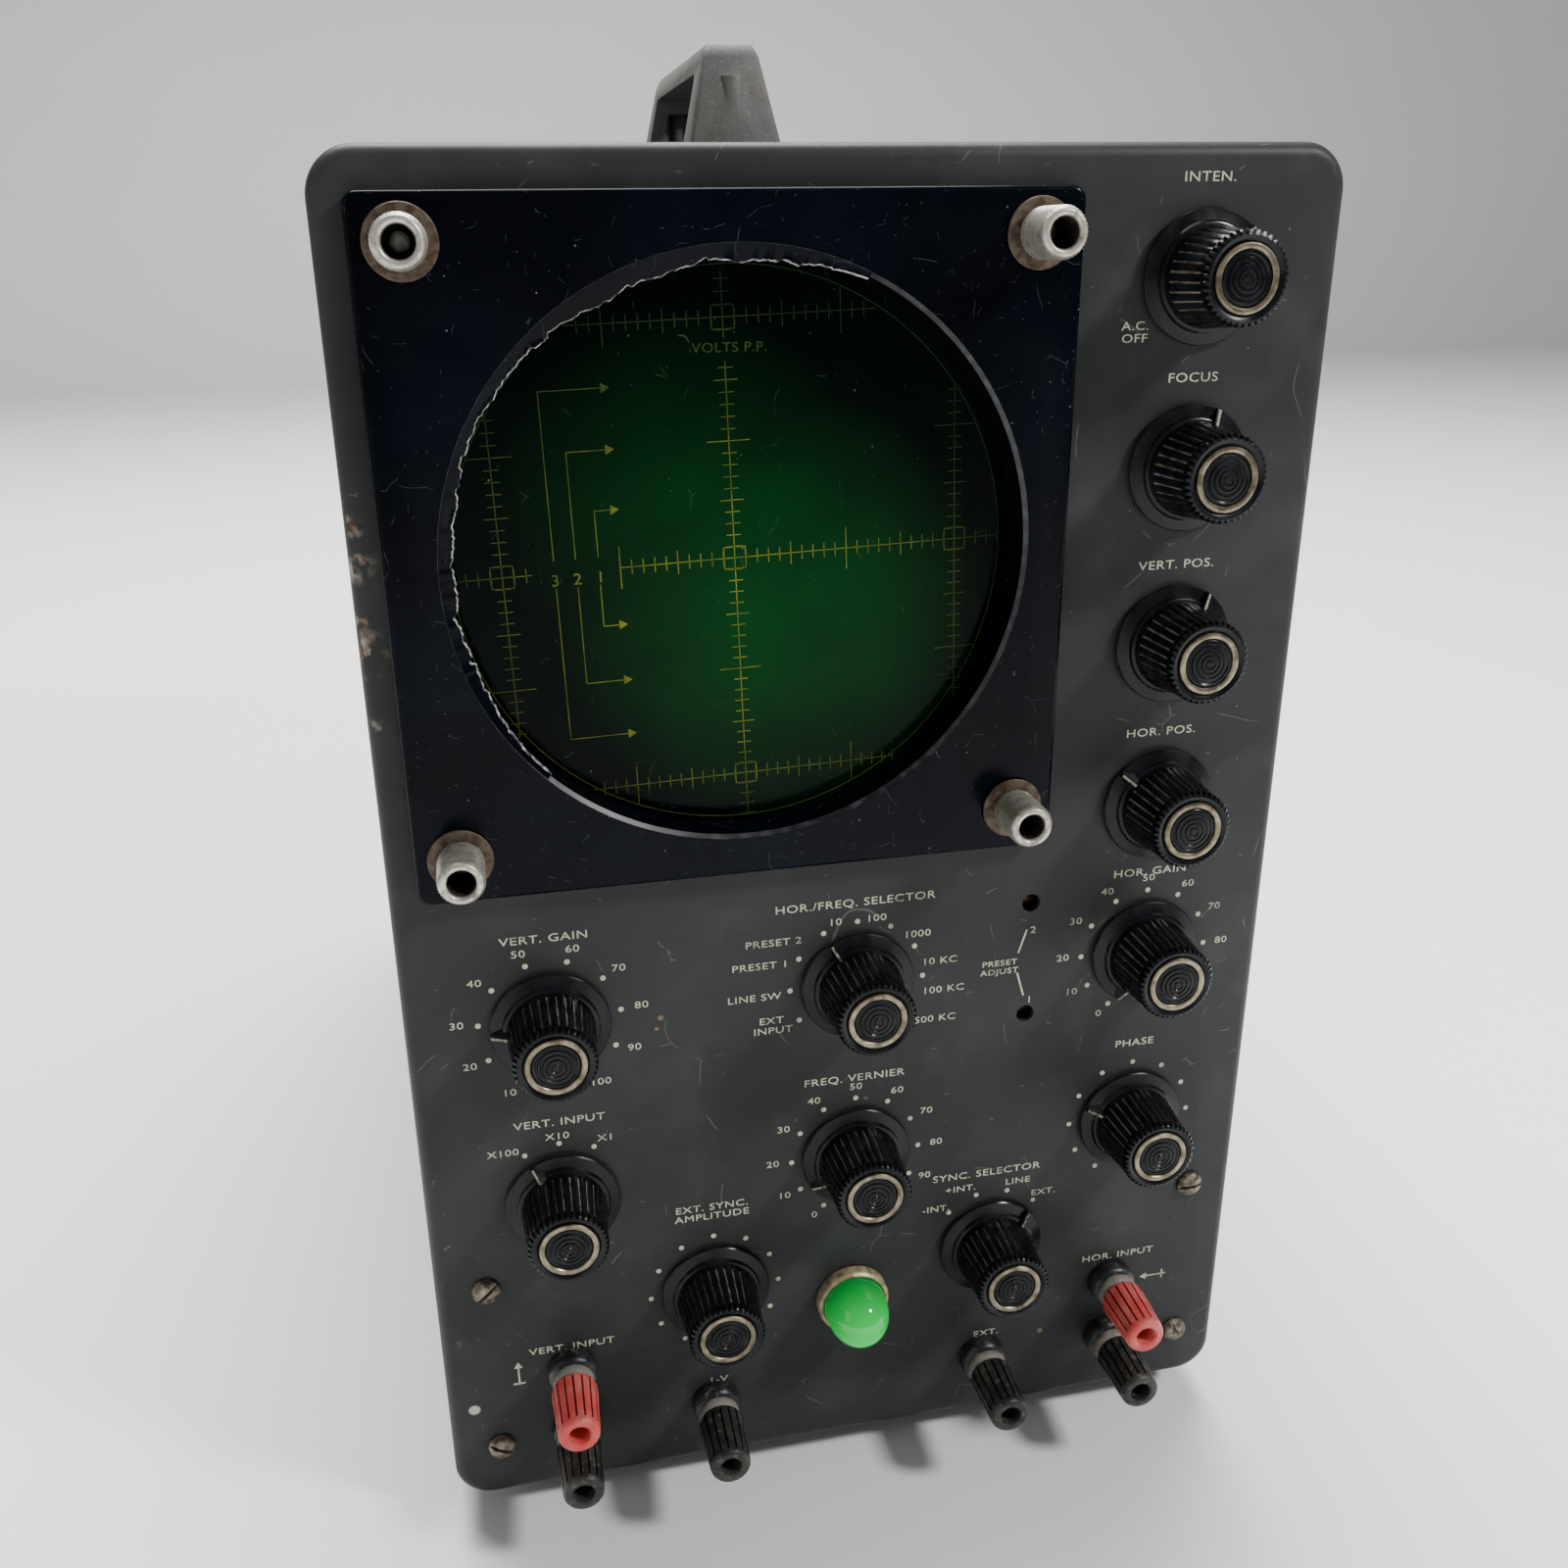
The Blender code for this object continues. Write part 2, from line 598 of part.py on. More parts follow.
def control_bank():
    """Potentiometers and wafer switches, joined behind by the earth strap."""
    strap_front = 0.0126
    strap_back = 0.0138
    half = 0.004
    bm = bmesh.new()
    add_box(bm, at(-0.0757, strap_front, 0.0886), at(0.0764, strap_back, 0.0966))
    bank = node("control_bank", bm, "core_steel")
    straps = bmesh.new()
    for x, low, high in (
        (0.0764, 0.090, 0.3078),
        (0.0, 0.090, 0.1437),
        (-0.0756, 0.090, 0.1422),
        (-0.0380, 0.0572, 0.095),
        (0.0383, 0.0582, 0.095),
    ):
        add_box(straps, at(x - half, strap_front + 0.0001, low), at(x + half, strap_back - 0.0001, high))
    combine(bank, "bank_straps", straps, "UNION")
    bodies = bmesh.new()
    bore = SHAFT_R + GAP
    back = SHEET + GAP
    for x, z, turn, kind in CONTROLS.values():
        outline = [(bore, -0.0026), (BUSH_R, -0.0026), (BUSH_R, back)]
        if kind == "pot":
            outline += [(0.0120, back), (0.0120, 0.0134), (bore, 0.0134)]
        else:
            outline += [(0.0130, back), (0.0130, 0.0090), (0.0060, 0.0090), (0.0060, 0.0180)]
            outline += [(0.0165, 0.0180), (0.0165, 0.0200), (bore, 0.0200)]
        add_lathe(bodies, outline, at(x, 0, z), 8)
    combine(bank, "bank_bodies", bodies, "UNION")


def presets():
    for name, (x, z) in PRESETS.items():
        place = at(x, 0, z)
        bm = bmesh.new()
        add_lathe(bm, [(0, 0.0040), (0.0021, 0.0040), (0.0021, 0.0420), (0, 0.0420)], place, 12)
        shaft = node(name, bm, "brass", place)
        slot = bmesh.new()
        low = place + Vector((-0.004, 0.002, -0.0004))
        add_box(slot, low, place + Vector((0.004, 0.0055, 0.0004)))
        combine(shaft, name + "_slot", slot)


# -------------------------------------------------------------- binding posts
def binding_posts():
    """Each post: a fixed base with its stud, collar and ring, and a screwed cap."""
    bore = STUD_R + GAP
    for name, (x, z, colour) in POSTS.items():
        place = at(x, 0, z)
        base = bmesh.new()
        outline = [(0, -0.0140), (STUD_R, -0.0140), (STUD_R, -0.0078), (0.0054, -0.0078), (0.0054, -0.0050)]
        outline += [(0.0060, -0.0040), (0.0065, -0.0025), (0.0065, -GAP)]
        outline += [(0.0035, -GAP), (0.0035, 0.0030), (STUD_R, 0.0030), (STUD_R, 0.0140), (0, 0.0140)]
        add_lathe(base, outline, place, 8)
        node(name.replace("cap", "base"), base, "collar_black", place)
        cap = bmesh.new()
        outline = [(bore, -0.0081), (0.0059, -0.0081), (0.0059, -0.0125)]
        outline += [(0.0052, -FRONT_REACH + 0.0006), (0.0047, -FRONT_REACH), (0.0026, -FRONT_REACH)]
        outline += [(bore, -0.0150)]
        add_lathe(cap, outline, place, 10)
        node(name, cap, "post_" + colour, place)


# ----------------------------------------------------------------- pilot lamp
def pilot_lamp():
    place = at(LAMP[0], 0, LAMP[1])
    bm = bmesh.new()
    outline = [(0.0069, -0.0010), (0.0087, -0.0010), (0.0087, -0.0036), (0.0093, -0.0036), (0.0098, -0.0026)]
    outline += [(0.0098, -GAP), (0.0080, -GAP), (0.0080, 0.0220), (0.0069, 0.0220)]
    add_lathe(bm, outline, place, 14)
    node("pilot_lamp_bezel", bm, "brass", place)
    bm = bmesh.new()
    outline = [(0, -0.0162), (0.0034, -0.0155), (0.0062, -0.0132), (0.0080, -0.0098), (0.0084, -0.0062)]
    outline += [(0.0084, -0.0013), (0.0066, -0.0013), (0.0066, 0.0060), (0.0052, 0.0060), (0.0052, -0.0020)]
    outline += [(0, -0.0040)]
    add_lathe(bm, outline, place, 14)
    node("pilot_lamp_jewel", bm, "jewel_green", place)
    bm = bmesh.new()
    outline = [(0, 0.0000), (0.0030, 0.0008), (0.0046, 0.0040), (0.0046, 0.0110), (0.0040, 0.0130)]
    outline += [(0.0040, 0.0210), (0, 0.0210)]
    add_lathe(bm, outline, place, 12)
    node("pilot_bulb", bm, "bulb_glass", place)


# ------------------------------------------------- handle, feet and fasteners
def handle_bosses():
    inset = HANDLE_LEG / 2 + 0.001
    return (HANDLE_FRONT + inset, HANDLE_REAR - inset)


def carry_handle():
    """Cast handle: tapered grip on two legs that are hollow on their inner side."""
    bm = bmesh.new()
    foot = PANEL_H + GAP
    top = PANEL_H + HANDLE_H
    lean = 0.008
    rings = []
    for height, half, shift in ((foot, 0.0150, 0.0), (top - 0.003, 0.0080, 0.93), (top, 0.0062, 1.25)):
        near = HANDLE_FRONT + lean * shift
        far = HANDLE_REAR - lean * shift
        corners = [(-half, near), (half, near), (half, far), (-half, far)]
        rings.append([bm.verts.new(at(x, depth, height)) for x, depth in corners])
    bm.faces.new(rings[0])
    bm.faces.new(rings[-1])
    for low, high in zip(rings, rings[1:]):
        for i in range(4):
            j = (i + 1) % 4
            bm.faces.new((low[i], low[j], high[j], high[i]))
    bmesh.ops.recalc_face_normals(bm, faces=bm.faces)
    handle = node("carry_handle", bm, "handle_grey")
    gap = bmesh.new()
    near = HANDLE_FRONT + HANDLE_LEG
    far = HANDLE_REAR - HANDLE_LEG
    add_box(gap, at(-0.03, near, foot - 0.01), at(0.03, far, top - 0.0075))
    combine(handle, "handle_finger_gap", gap)
    pockets = bmesh.new()
    bosses = bmesh.new()
    holes = bmesh.new()
    for boss, inner in zip(handle_bosses(), (near, far)):
        outward = math.copysign(1.0, boss - inner)
        depths = sorted((inner - outward * 0.002, inner + outward * 0.0085))
        ends = [at(-0.0065, depths[0], foot + 0.003), at(0.0065, depths[1], top - 0.012)]
        add_box(pockets, ends[0], ends[1])
        low = PANEL_H + 0.002
        outline = [(0, low), (0.0042, low), (0.0042, top - 0.010), (0, top - 0.010)]
        add_lathe(bosses, outline, at(0, boss, 0), 12, along="height")
        outline = [(0, 0.33), (0.0024, 0.33), (0.0024, 0.352), (0, 0.352)]
        add_lathe(holes, outline, at(0, boss, 0), 10, along="height")
    combine(handle, "handle_pockets", pockets)
    combine(handle, "handle_bosses", bosses, "UNION")
    combine(handle, "handle_screw_holes", holes)


def panel_screws():
    """Slotted pan-head screws through the panel into the chassis tabs."""
    for index, (x, z) in enumerate(PANEL_SCREWS):
        place = at(x, 0, z)
        bm = bmesh.new()
        outline = [(0, -0.0022), (0.0022, -0.0021), (0.0034, -0.0014), (0.0037, -GAP), (0.0020, -GAP)]
        add_lathe(bm, outline + [(0.0020, 0.0060), (0, 0.0060)], place, 10)
        side = "left" if x < 0 else "right"
        level = "lower" if z < 0.04 else "upper"
        screw = node(f"panel_screw_{level}_{side}", bm, "zinc_steel", place)
        slot = bmesh.new()
        piece = bmesh.new()
        bmesh.ops.create_cube(piece, size=1.0)
        turn = Matrix.Rotation(0.5 + 1.9 * index, 4, "Y")
        shift = Matrix.Translation(place + Vector((0, -0.0022, 0)))
        merge(slot, piece, shift @ turn @ Matrix.Diagonal((0.0100, 0.0022, 0.0009, 1.0)))
        combine(screw, screw.name + "_slot", slot)


def rubber_feet():
    for side, x in (("left", -0.085), ("right", 0.085)):
        for end, depth in (("front", 0.035), ("rear", 0.345)):
            bm = bmesh.new()
            outline = [(0, -FOOT_H), (0.0080, -FOOT_H), (0.0090, -FOOT_H + 0.001), (0.0105, -GAP), (0, -GAP)]
            place = at(x, depth, 0)
            add_lathe(bm, outline, place, 12, along="height")
            node(f"rubber_foot_{end}_{side}", bm, "soft_rubber", place)


# ------------------------------------------------------------ inside the case
def power_transformer():
    """Laminated core with an end bell on each side, standing on the deck."""
    x, depth = TRANSFORMER
    deck = DECK_Z + CHASSIS_T / 2 + GAP
    bm = bmesh.new()
    add_box(bm, at(x - 0.038, depth - 0.016, deck), at(x + 0.038, depth + 0.016, deck + 0.064))
    transformer = node("power_transformer", bm, "core_steel")
    bells = bmesh.new()
    add_slab(bells, at(x, 0, deck + 0.032), 0.052, 0.048, 0.008, depth - 0.034, depth + 0.034, steps=3)
    combine(transformer, "transformer_bells", bells, "UNION")


def valve_board():
    """Wiring board under the deck, with the valves and filter cans that rise through it."""
    under = DECK_Z - CHASSIS_T / 2 - GAP
    deck = DECK_Z + CHASSIS_T / 2 + GAP
    bm = bmesh.new()
    add_box(bm, at(-0.099, 0.086, under - 0.0016), at(0.099, 0.318, under))
    board = node("valve_board", bm, "dark_phenolic")
    valves = bmesh.new()
    root = [(0, under - 0.0008), (0.0078, under - 0.0008), (0.0078, deck)]
    for x, depth in SMALL_TUBES:
        glass = [(0.0112, deck), (0.0112, deck + 0.005), (0.0104, deck + 0.006), (0.0104, deck + 0.044)]
        glass += [(0.0030, deck + 0.053), (0, deck + 0.057)]
        add_lathe(valves, root + glass, at(x, depth, 0), 8, along="height")
    for x, depth in CAPACITORS:
        can = [(0.0145, deck), (0.0145, deck + 0.068), (0.0135, deck + 0.070), (0, deck + 0.070)]
        add_lathe(valves, root + can, at(x, depth, 0), 10, along="height")
    combine(board, "board_valves", valves, "UNION")


def rear_fittings():
    back = CASE_DEPTH - 0.0008
    bm = bmesh.new()
    outline = [(0.0045, back + 0.0030), (0.0085, back + 0.0030), (0.0085, back + GAP), (0.0060, back + GAP)]
    outline += [(0.0060, back - 0.0018), (0.0085, back - 0.0018)]
    outline += [(0.0085, back - 0.0045), (0.0045, back - 0.0045)]
    add_lathe(bm, outline, at(REAR_CORD[0], 0, REAR_CORD[1]), 12)
    node("cord_grommet", bm, "soft_rubber")
    bm = bmesh.new()
    end = CASE_DEPTH + REAR_REACH
    outline = [(0, end), (0.0060, end), (0.0070, end - 0.001), (0.0070, back + 0.0022)]
    outline += [(0.0090, back + 0.0022), (0.0090, back + GAP)]
    outline += [(0.0065, back + GAP), (0.0065, 0.3450), (0, 0.3450)]
    add_lathe(bm, outline, at(REAR_FUSE[0], 0, REAR_FUSE[1]), 12)
    node("fuse_holder", bm, "collar_black")


def main():
    clear_scene()
    front_panel()
    cabinet_shell()
    rear_cover()
    main_chassis()
    bezel_plate()
    screen_stack()
    crt_envelope()
    crt_base_and_socket()
    crt_shield()
    crt_neck_clamp()
    electron_gun()
    thumb_nuts()
    knobs()
    control_bank()
    presets()
    binding_posts()
    pilot_lamp()
    carry_handle()
    panel_screws()
    rubber_feet()
    power_transformer()
    valve_board()
    rear_fittings()


main()
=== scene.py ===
"""Bench oscilloscope with a five-inch cathode ray tube: the finished surfaces of every piece.

Metres, +Z up. The front panel faces -Y, and the feet stand on the floor at Z = 0.
"""

import json
import math
import random

import bmesh
import bpy
from mathutils import Matrix, Vector


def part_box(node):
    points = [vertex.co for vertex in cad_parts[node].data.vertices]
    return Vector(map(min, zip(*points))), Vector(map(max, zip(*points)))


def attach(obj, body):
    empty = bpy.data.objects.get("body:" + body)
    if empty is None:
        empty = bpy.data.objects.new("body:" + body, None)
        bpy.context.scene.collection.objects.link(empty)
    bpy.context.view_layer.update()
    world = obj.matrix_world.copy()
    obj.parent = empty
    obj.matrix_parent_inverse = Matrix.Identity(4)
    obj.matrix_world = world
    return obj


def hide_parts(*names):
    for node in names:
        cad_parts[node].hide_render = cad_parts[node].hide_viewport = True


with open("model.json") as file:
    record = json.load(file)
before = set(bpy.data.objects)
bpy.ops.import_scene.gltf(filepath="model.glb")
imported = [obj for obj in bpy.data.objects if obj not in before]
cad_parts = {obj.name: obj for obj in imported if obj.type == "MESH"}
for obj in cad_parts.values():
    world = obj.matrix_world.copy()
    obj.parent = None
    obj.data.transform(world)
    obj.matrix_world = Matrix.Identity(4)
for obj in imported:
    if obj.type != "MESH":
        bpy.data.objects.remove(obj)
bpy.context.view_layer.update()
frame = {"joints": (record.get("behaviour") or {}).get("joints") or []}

# ---------------------------------------------------------------- camera
# A phone held a forearm's length from the panel, above it and to its left.
bpy.ops.object.select_all(action="DESELECT")
bpy.ops.object.camera_add(location=(-0.0837, -0.4822, 0.3242))
camera = bpy.context.object
camera.name = "camera"
to_right = Vector((0.978, -0.2085, -0.0138))
to_top = Vector((0.0853, 0.3383, 0.9372))
ahead = Vector((0.1907, 0.9177, -0.3487))
camera.rotation_euler = Matrix((to_right, to_top, -ahead)).transposed().to_euler()
camera.data.sensor_width = 36.0
camera.data.lens = 32.35
camera.data.shift_x = 0.0104
camera.data.shift_y = -0.0112
camera.data.clip_start = 0.01
bpy.context.scene.camera = camera


# ---------------------------------------------------------------- floor and light
# A pale matt studio floor and wall under a wide overhead lamp, with a small lamp above and
# to the right that casts the shadows and a weak one on the left, in a pale room.
def linear(code):
    """A colour code such as #3d413f, turned from sRGB to linear."""
    parts = [int(code[i:i + 2], 16) / 255 for i in (1, 3, 5)]
    values = [c / 12.92 if c <= 0.04045 else ((c + 0.055) / 1.055) ** 2.4 for c in parts]
    return (*values, 1.0)


def add(tree, kind, *inputs, **values):
    """Add a node, and return its first output.

    The inputs fill its sockets in order.  A named value is one of its properties, or goes
    to the socket of that name.  Each is a number, a colour or another node's output.
    """
    node = tree.nodes.new("ShaderNode" + kind)
    sockets = list(zip(node.inputs, inputs))
    for name, value in values.items():
        if hasattr(node, name):
            setattr(node, name, value)
        else:
            sockets.append((node.inputs[name.replace("_", " ")], value))
    for socket, value in sockets:
        if isinstance(value, bpy.types.NodeSocket):
            tree.links.new(value, socket)
        else:
            socket.default_value = value
    return node.outputs[0]


def finish(name, **values):
    """A new material: its tree, its shader with these sockets set, and its object coordinates."""
    made = bpy.data.materials.new(name)
    made.use_nodes = True
    tree = made.node_tree
    shader = tree.nodes["Principled BSDF"]
    for socket, value in values.items():
        shader.inputs[socket.replace("_", " ")].default_value = value
    place = add(tree, "TexCoord").node.outputs["Object"]
    return made, tree, shader, place


def patches(tree, place, size, low, high, detail=3.0):
    """A mask of soft patches about size across, from 0 where the noise is low to 1 where it is high."""
    noise = add(tree, "TexNoise", Vector=place, Scale=1 / size, Detail=detail)
    return add(tree, "MapRange", Value=noise, From_Min=low, From_Max=high)


def relief(tree, shader, height, depth):
    """Raise the surface by a mask times depth, in metres."""
    bump = add(tree, "Bump", Height=height, Distance=depth, Strength=1.0)
    tree.links.new(bump, shader.inputs["Normal"])


def mottled(name, plain, stained, size, low, high, detail=3.0, depth=0.0, haze=None, **values):
    """A material of two colours in soft patches, which can also stand up and be less shiny."""
    made, tree, shader, place = finish(name, **values)
    mask = patches(tree, place, size, low, high, detail)
    colour = add(tree, "MixRGB", mask, linear(plain), linear(stained))
    tree.links.new(colour, shader.inputs["Base Color"])
    if haze:
        rough = add(tree, "MapRange", Value=mask, To_Min=haze[0], To_Max=haze[1])
        tree.links.new(rough, shader.inputs["Roughness"])
    if depth:
        relief(tree, shader, mask, depth)
    return made


def coat(tree, colour, mask, strength, over):
    """Lay a thin coat of another colour over a colour, where the mask is."""
    cover = add(tree, "Math", mask, strength, operation="MULTIPLY")
    return add(tree, "MixRGB", cover, colour, linear(over))


bpy.ops.object.select_all(action="DESELECT")
bpy.ops.mesh.primitive_circle_add(vertices=96, radius=9.0, fill_type="NGON", location=(0, 0, 0))
floor = bpy.context.object
floor.name = "studio_floor"
studio_floor = mottled(
    "matt studio floor", "#f0f0ee", "#f3f3f2", 0.4, 0.3, 0.7, Roughness=0.9, Specular_IOR_Level=0.1
)
floor.data.materials.append(studio_floor)
bpy.ops.object.select_all(action="DESELECT")
bpy.ops.mesh.primitive_plane_add(size=18.0, location=(0, 3.4, 4.0), rotation=(math.pi / 2, 0, 0))
wall = bpy.context.object
wall.name = "studio_wall"
wall.data.materials.append(studio_floor)

for name, spot, size, power in (
    ("lamp_above_right", (0.78, -0.72, 0.98), 0.20, 13.5),
    ("lamp_left", (-1.30, -0.60, 0.70), 0.9, 2.0),
    ("lamp_overhead", (0.0, 0.9, 2.4), 2.0, 170.0),
):
    bpy.ops.object.light_add(type="AREA", location=spot)
    lamp = bpy.context.object
    lamp.name = name
    lamp.data.shape = "DISK"
    lamp.data.size = size
    lamp.data.energy = power
    aim = Vector((0, -0.12, 0.18)) - Vector(spot)
    lamp.rotation_euler = aim.to_track_quat("-Z", "Y").to_euler()

room = bpy.data.worlds.new("pale_room")
room.use_nodes = True
room.node_tree.nodes["Background"].inputs["Color"].default_value = linear("#f6f7f8")
room.node_tree.nodes["Background"].inputs["Strength"].default_value = 0.26
bpy.context.scene.world = room


# ---------------------------------------------------------------- front panel
# One steel sheet of 1.5 mm, folded back 12 mm at its edge with a rounded bend, punched
# for the controls, and baked with satin grey-green enamel.  Rubbed through to rusty steel
# on its left edge, where the instrument has been knocked.
pivots = {joint["child"]: Vector(joint["pos_m"]) for joint in frame["joints"]}
FACE = pivots["knob_intensity"].y
for pivot in pivots.values():
    pivot.y = FACE
LOWER_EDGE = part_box("cabinet_shell")[0].z


def at(x, depth, height):
    """Millimetres from the middle, behind the panel's face and above its lower edge."""
    return Vector((x / 1000, FACE + depth / 1000, LOWER_EDGE + height / 1000))


def block(low, high):
    """Add a box between two corners, alone selected, and open it for editing."""
    bpy.ops.object.select_all(action="DESELECT")
    bpy.ops.mesh.primitive_cube_add(size=1.0, location=(low + high) / 2, scale=high - low)
    bpy.ops.object.transform_apply(location=True, rotation=True, scale=True)
    bpy.ops.object.mode_set(mode="EDIT")
    return bpy.context.object


def choose(kind, test):
    """In edit mode, select only the VERT, EDGE or FACE parts that pass the test."""
    bpy.ops.mesh.select_mode(type=kind)
    bpy.ops.mesh.select_all(action="DESELECT")
    mesh = bmesh.from_edit_mesh(bpy.context.object.data)
    for part in {"VERT": mesh.verts, "EDGE": mesh.edges, "FACE": mesh.faces}[kind]:
        if test(part):
            part.select_set(True)
    mesh.select_flush_mode()
    bmesh.update_edit_mesh(bpy.context.object.data)


def runs(edge, axis):
    """Whether an edge runs along an axis, 0 to 2."""
    line = edge.verts[1].co - edge.verts[0].co
    return abs(line[axis]) > 0.999 * line.length


def facing(face, axis, sign):
    """Whether a face looks along an axis, 0 to 2, in the direction of sign."""
    return face.normal[axis] * sign > 0.999


def lies_at(edge, y):
    """Whether an edge lies in the plane at that depth, in metres."""
    return all(abs(vert.co.y - y) < 1e-5 for vert in edge.verts)


def modify(piece, kind, **settings):
    """Put a modifier on a piece and apply it."""
    if bpy.context.mode == "EDIT_MESH":
        bpy.ops.object.mode_set(mode="OBJECT")
    bpy.ops.object.select_all(action="DESELECT")
    piece.select_set(True)
    bpy.context.view_layer.objects.active = piece
    modifier = piece.modifiers.new(kind.lower(), kind)
    for name, value in settings.items():
        setattr(modifier, name, value)
    bpy.ops.object.modifier_apply(modifier=modifier.name)


def carve(piece, tool, operation="DIFFERENCE"):
    """Cut the tool out of the piece, or join it on, and throw the tool away."""
    if bpy.context.mode == "EDIT_MESH":
        bpy.ops.object.mode_set(mode="OBJECT")
    modify(piece, "BOOLEAN", object=tool, operation=operation, solver="EXACT")
    bpy.data.objects.remove(tool, do_unlink=True)


def rod(middle, radius, length, sides):
    """Add a round bar that lies along the depth, in metres."""
    bpy.ops.mesh.primitive_cylinder_add(
        vertices=sides, radius=radius, depth=length, location=middle, rotation=(math.pi / 2, 0, 0)
    )


def punches(holes, front, back):
    """Round punches for holes of (x, height, radius), as one tool."""
    tool = None
    bpy.ops.object.select_all(action="DESELECT")
    for x, height, radius in holes:
        rod(at(x, (front + back) / 2, height), radius, (back - front) / 1000, 48 if radius < 0.02 else 128)
        if tool is None:
            tool = bpy.context.object
            bpy.ops.object.transform_apply(location=True, rotation=True, scale=True)
            bpy.ops.object.mode_set(mode="EDIT")
    bpy.ops.object.mode_set(mode="OBJECT")
    return tool


def fit(name, surface, body="instrument", nodes=(), angle=35):
    """Name the piece being worked on, smooth it, give it its surface and fix it to its body."""
    if bpy.context.mode == "EDIT_MESH":
        bpy.ops.object.mode_set(mode="OBJECT")
    piece = bpy.context.object
    bpy.ops.object.select_all(action="DESELECT")
    piece.select_set(True)
    piece.name = name
    piece.data.name = name
    bpy.ops.object.shade_smooth_by_angle(angle=math.radians(angle))
    if not piece.data.materials:
        piece.data.materials.append(surface)
    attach(piece, body)
    if nodes:
        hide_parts(*nodes)
    return piece


def scored(tree, place, size, width, share):
    """A mask of hairline scratches of that width, bowed and at every angle, about size long."""
    bow = add(tree, "TexNoise", Vector=place, Scale=1 / size, Detail=1.0).node.outputs["Color"]
    bowed = add(tree, "MixRGB", 0.35 * size, place, bow, blend_type="LINEAR_LIGHT")
    cells = add(tree, "TexVoronoi", feature="DISTANCE_TO_EDGE", Vector=bowed, Scale=0.6 / size)
    edge = 0.3 * width / size
    line = add(tree, "MapRange", Value=cells, From_Min=edge, From_Max=0.4 * edge)
    kept = patches(tree, place, 0.5 * size, 1 - share, 1.04 - share, 1.0)
    return add(tree, "Math", line, kept, operation="MULTIPLY")


def dust(tree, place, spacing, radius, share):
    """A mask of specks of dust: round, one to a cell of that spacing, in a share of the cells."""
    cells = add(tree, "TexVoronoi", Vector=place, Scale=1 / spacing)
    size = radius / spacing
    grain = add(tree, "MapRange", Value=cells, From_Min=size, From_Max=0.5 * size)
    pick = add(tree, "SeparateColor", Color=cells.node.outputs["Color"])
    rare = add(tree, "Math", pick, 1 - share, operation="GREATER_THAN")
    return add(tree, "Math", grain, rare, operation="MULTIPLY")


def near(tree, place, spot, inner, outer):
    """A mask that is 1 within inner of a spot and 0 beyond outer."""
    away = add(tree, "VectorMath", place, spot, operation="DISTANCE").node.outputs["Value"]
    return add(tree, "MapRange", Value=away, From_Min=outer, From_Max=inner)


def enamel(name, plain, faded, roughness):
    """Satin baked enamel: faint orange peel, faded patches, scuffs, hairline scratches and dust."""
    made, tree, shader, place = finish(name, Roughness=roughness, Specular_IOR_Level=0.16)
    fade = patches(tree, place, 0.045, 0.38, 0.66)
    colour = add(tree, "MixRGB", fade, linear(plain), linear(faded))
    scuffs = patches(tree, place, 0.018, 0.52, 0.72, 6.0)
    colour = coat(tree, colour, scuffs, 0.15, "#575a55")
    colour = coat(tree, colour, scored(tree, place, 0.022, 0.00030, 0.40), 0.35, "#7d7e77")
    colour = coat(tree, colour, scored(tree, place, 0.009, 0.00022, 0.36), 0.35, "#85867e")
    colour = coat(tree, colour, dust(tree, place, 0.0065, 0.00022, 0.28), 0.6, "#a8a598")
    peel = add(tree, "TexNoise", Vector=place, Scale=1 / 0.0016, Detail=1.0)
    relief(tree, shader, peel, 0.00003)
    return made, tree, shader, place, colour


panel_enamel, tree, shader, place, colour = enamel(
    "baked satin enamel on the panel", "#292c2b", "#303332", 0.46
)
wear = 0.0
for height, size in ((262, 4.5), (256, 6.0), (243, 3.5), (236, 6.5), (219, 3.0)):
    knock = near(tree, place, at(-108.8, 1.0, height), 0.35 * size / 1000, size / 1000)
    wear = add(tree, "Math", wear, knock, operation="MAXIMUM")
ragged_wear = patches(tree, place, 0.0045, 0.46, 0.56, 8.0)
worn = add(tree, "Math", wear, ragged_wear, operation="MULTIPLY")
rust = patches(tree, place, 0.0022, 0.40, 0.62, 5.0)
bare_steel = add(tree, "MixRGB", rust, linear("#5c3b2a"), linear("#9a9489"))
colour = add(tree, "MixRGB", worn, colour, bare_steel)
PALE, BROWN = "#c4c0b2", "#7d6a50"
for x, height, size, code in (
    (-102.8, 30.2, 1.7, PALE), (-49.2, 140.5, 0.8, BROWN),
    (-50.3, 137.6, 0.6, BROWN), (55.0, 24.5, 0.9, BROWN),
):
    chip = near(tree, place, at(x, 0, height), 0.7 * size / 1000, size / 1000)
    colour = coat(tree, colour, chip, 0.85, code)
tree.links.new(colour, shader.inputs["Base Color"])

HALF_WIDTH = 109.5
HEIGHT = 335
CORNER = 0.010
panel = block(at(-HALF_WIDTH, 0, 0), at(HALF_WIDTH, 12, HEIGHT))
choose("EDGE", lambda edge: runs(edge, 1))
bpy.ops.mesh.bevel(offset=CORNER, segments=14, affect="EDGES")
choose("FACE", lambda face: facing(face, 1, 1))
bpy.ops.mesh.delete(type="FACE")
choose("EDGE", lambda edge: lies_at(edge, FACE))
bpy.ops.mesh.bevel(offset=0.0032, segments=6, affect="EDGES")
modify(panel, "SOLIDIFY", thickness=0.0015, offset=-1.0, use_even_offset=True)


def on_panel(pivot):
    """A place on the panel as x and height, in millimetres."""
    return pivot.x * 1000, (pivot.z - LOWER_EDGE) * 1000


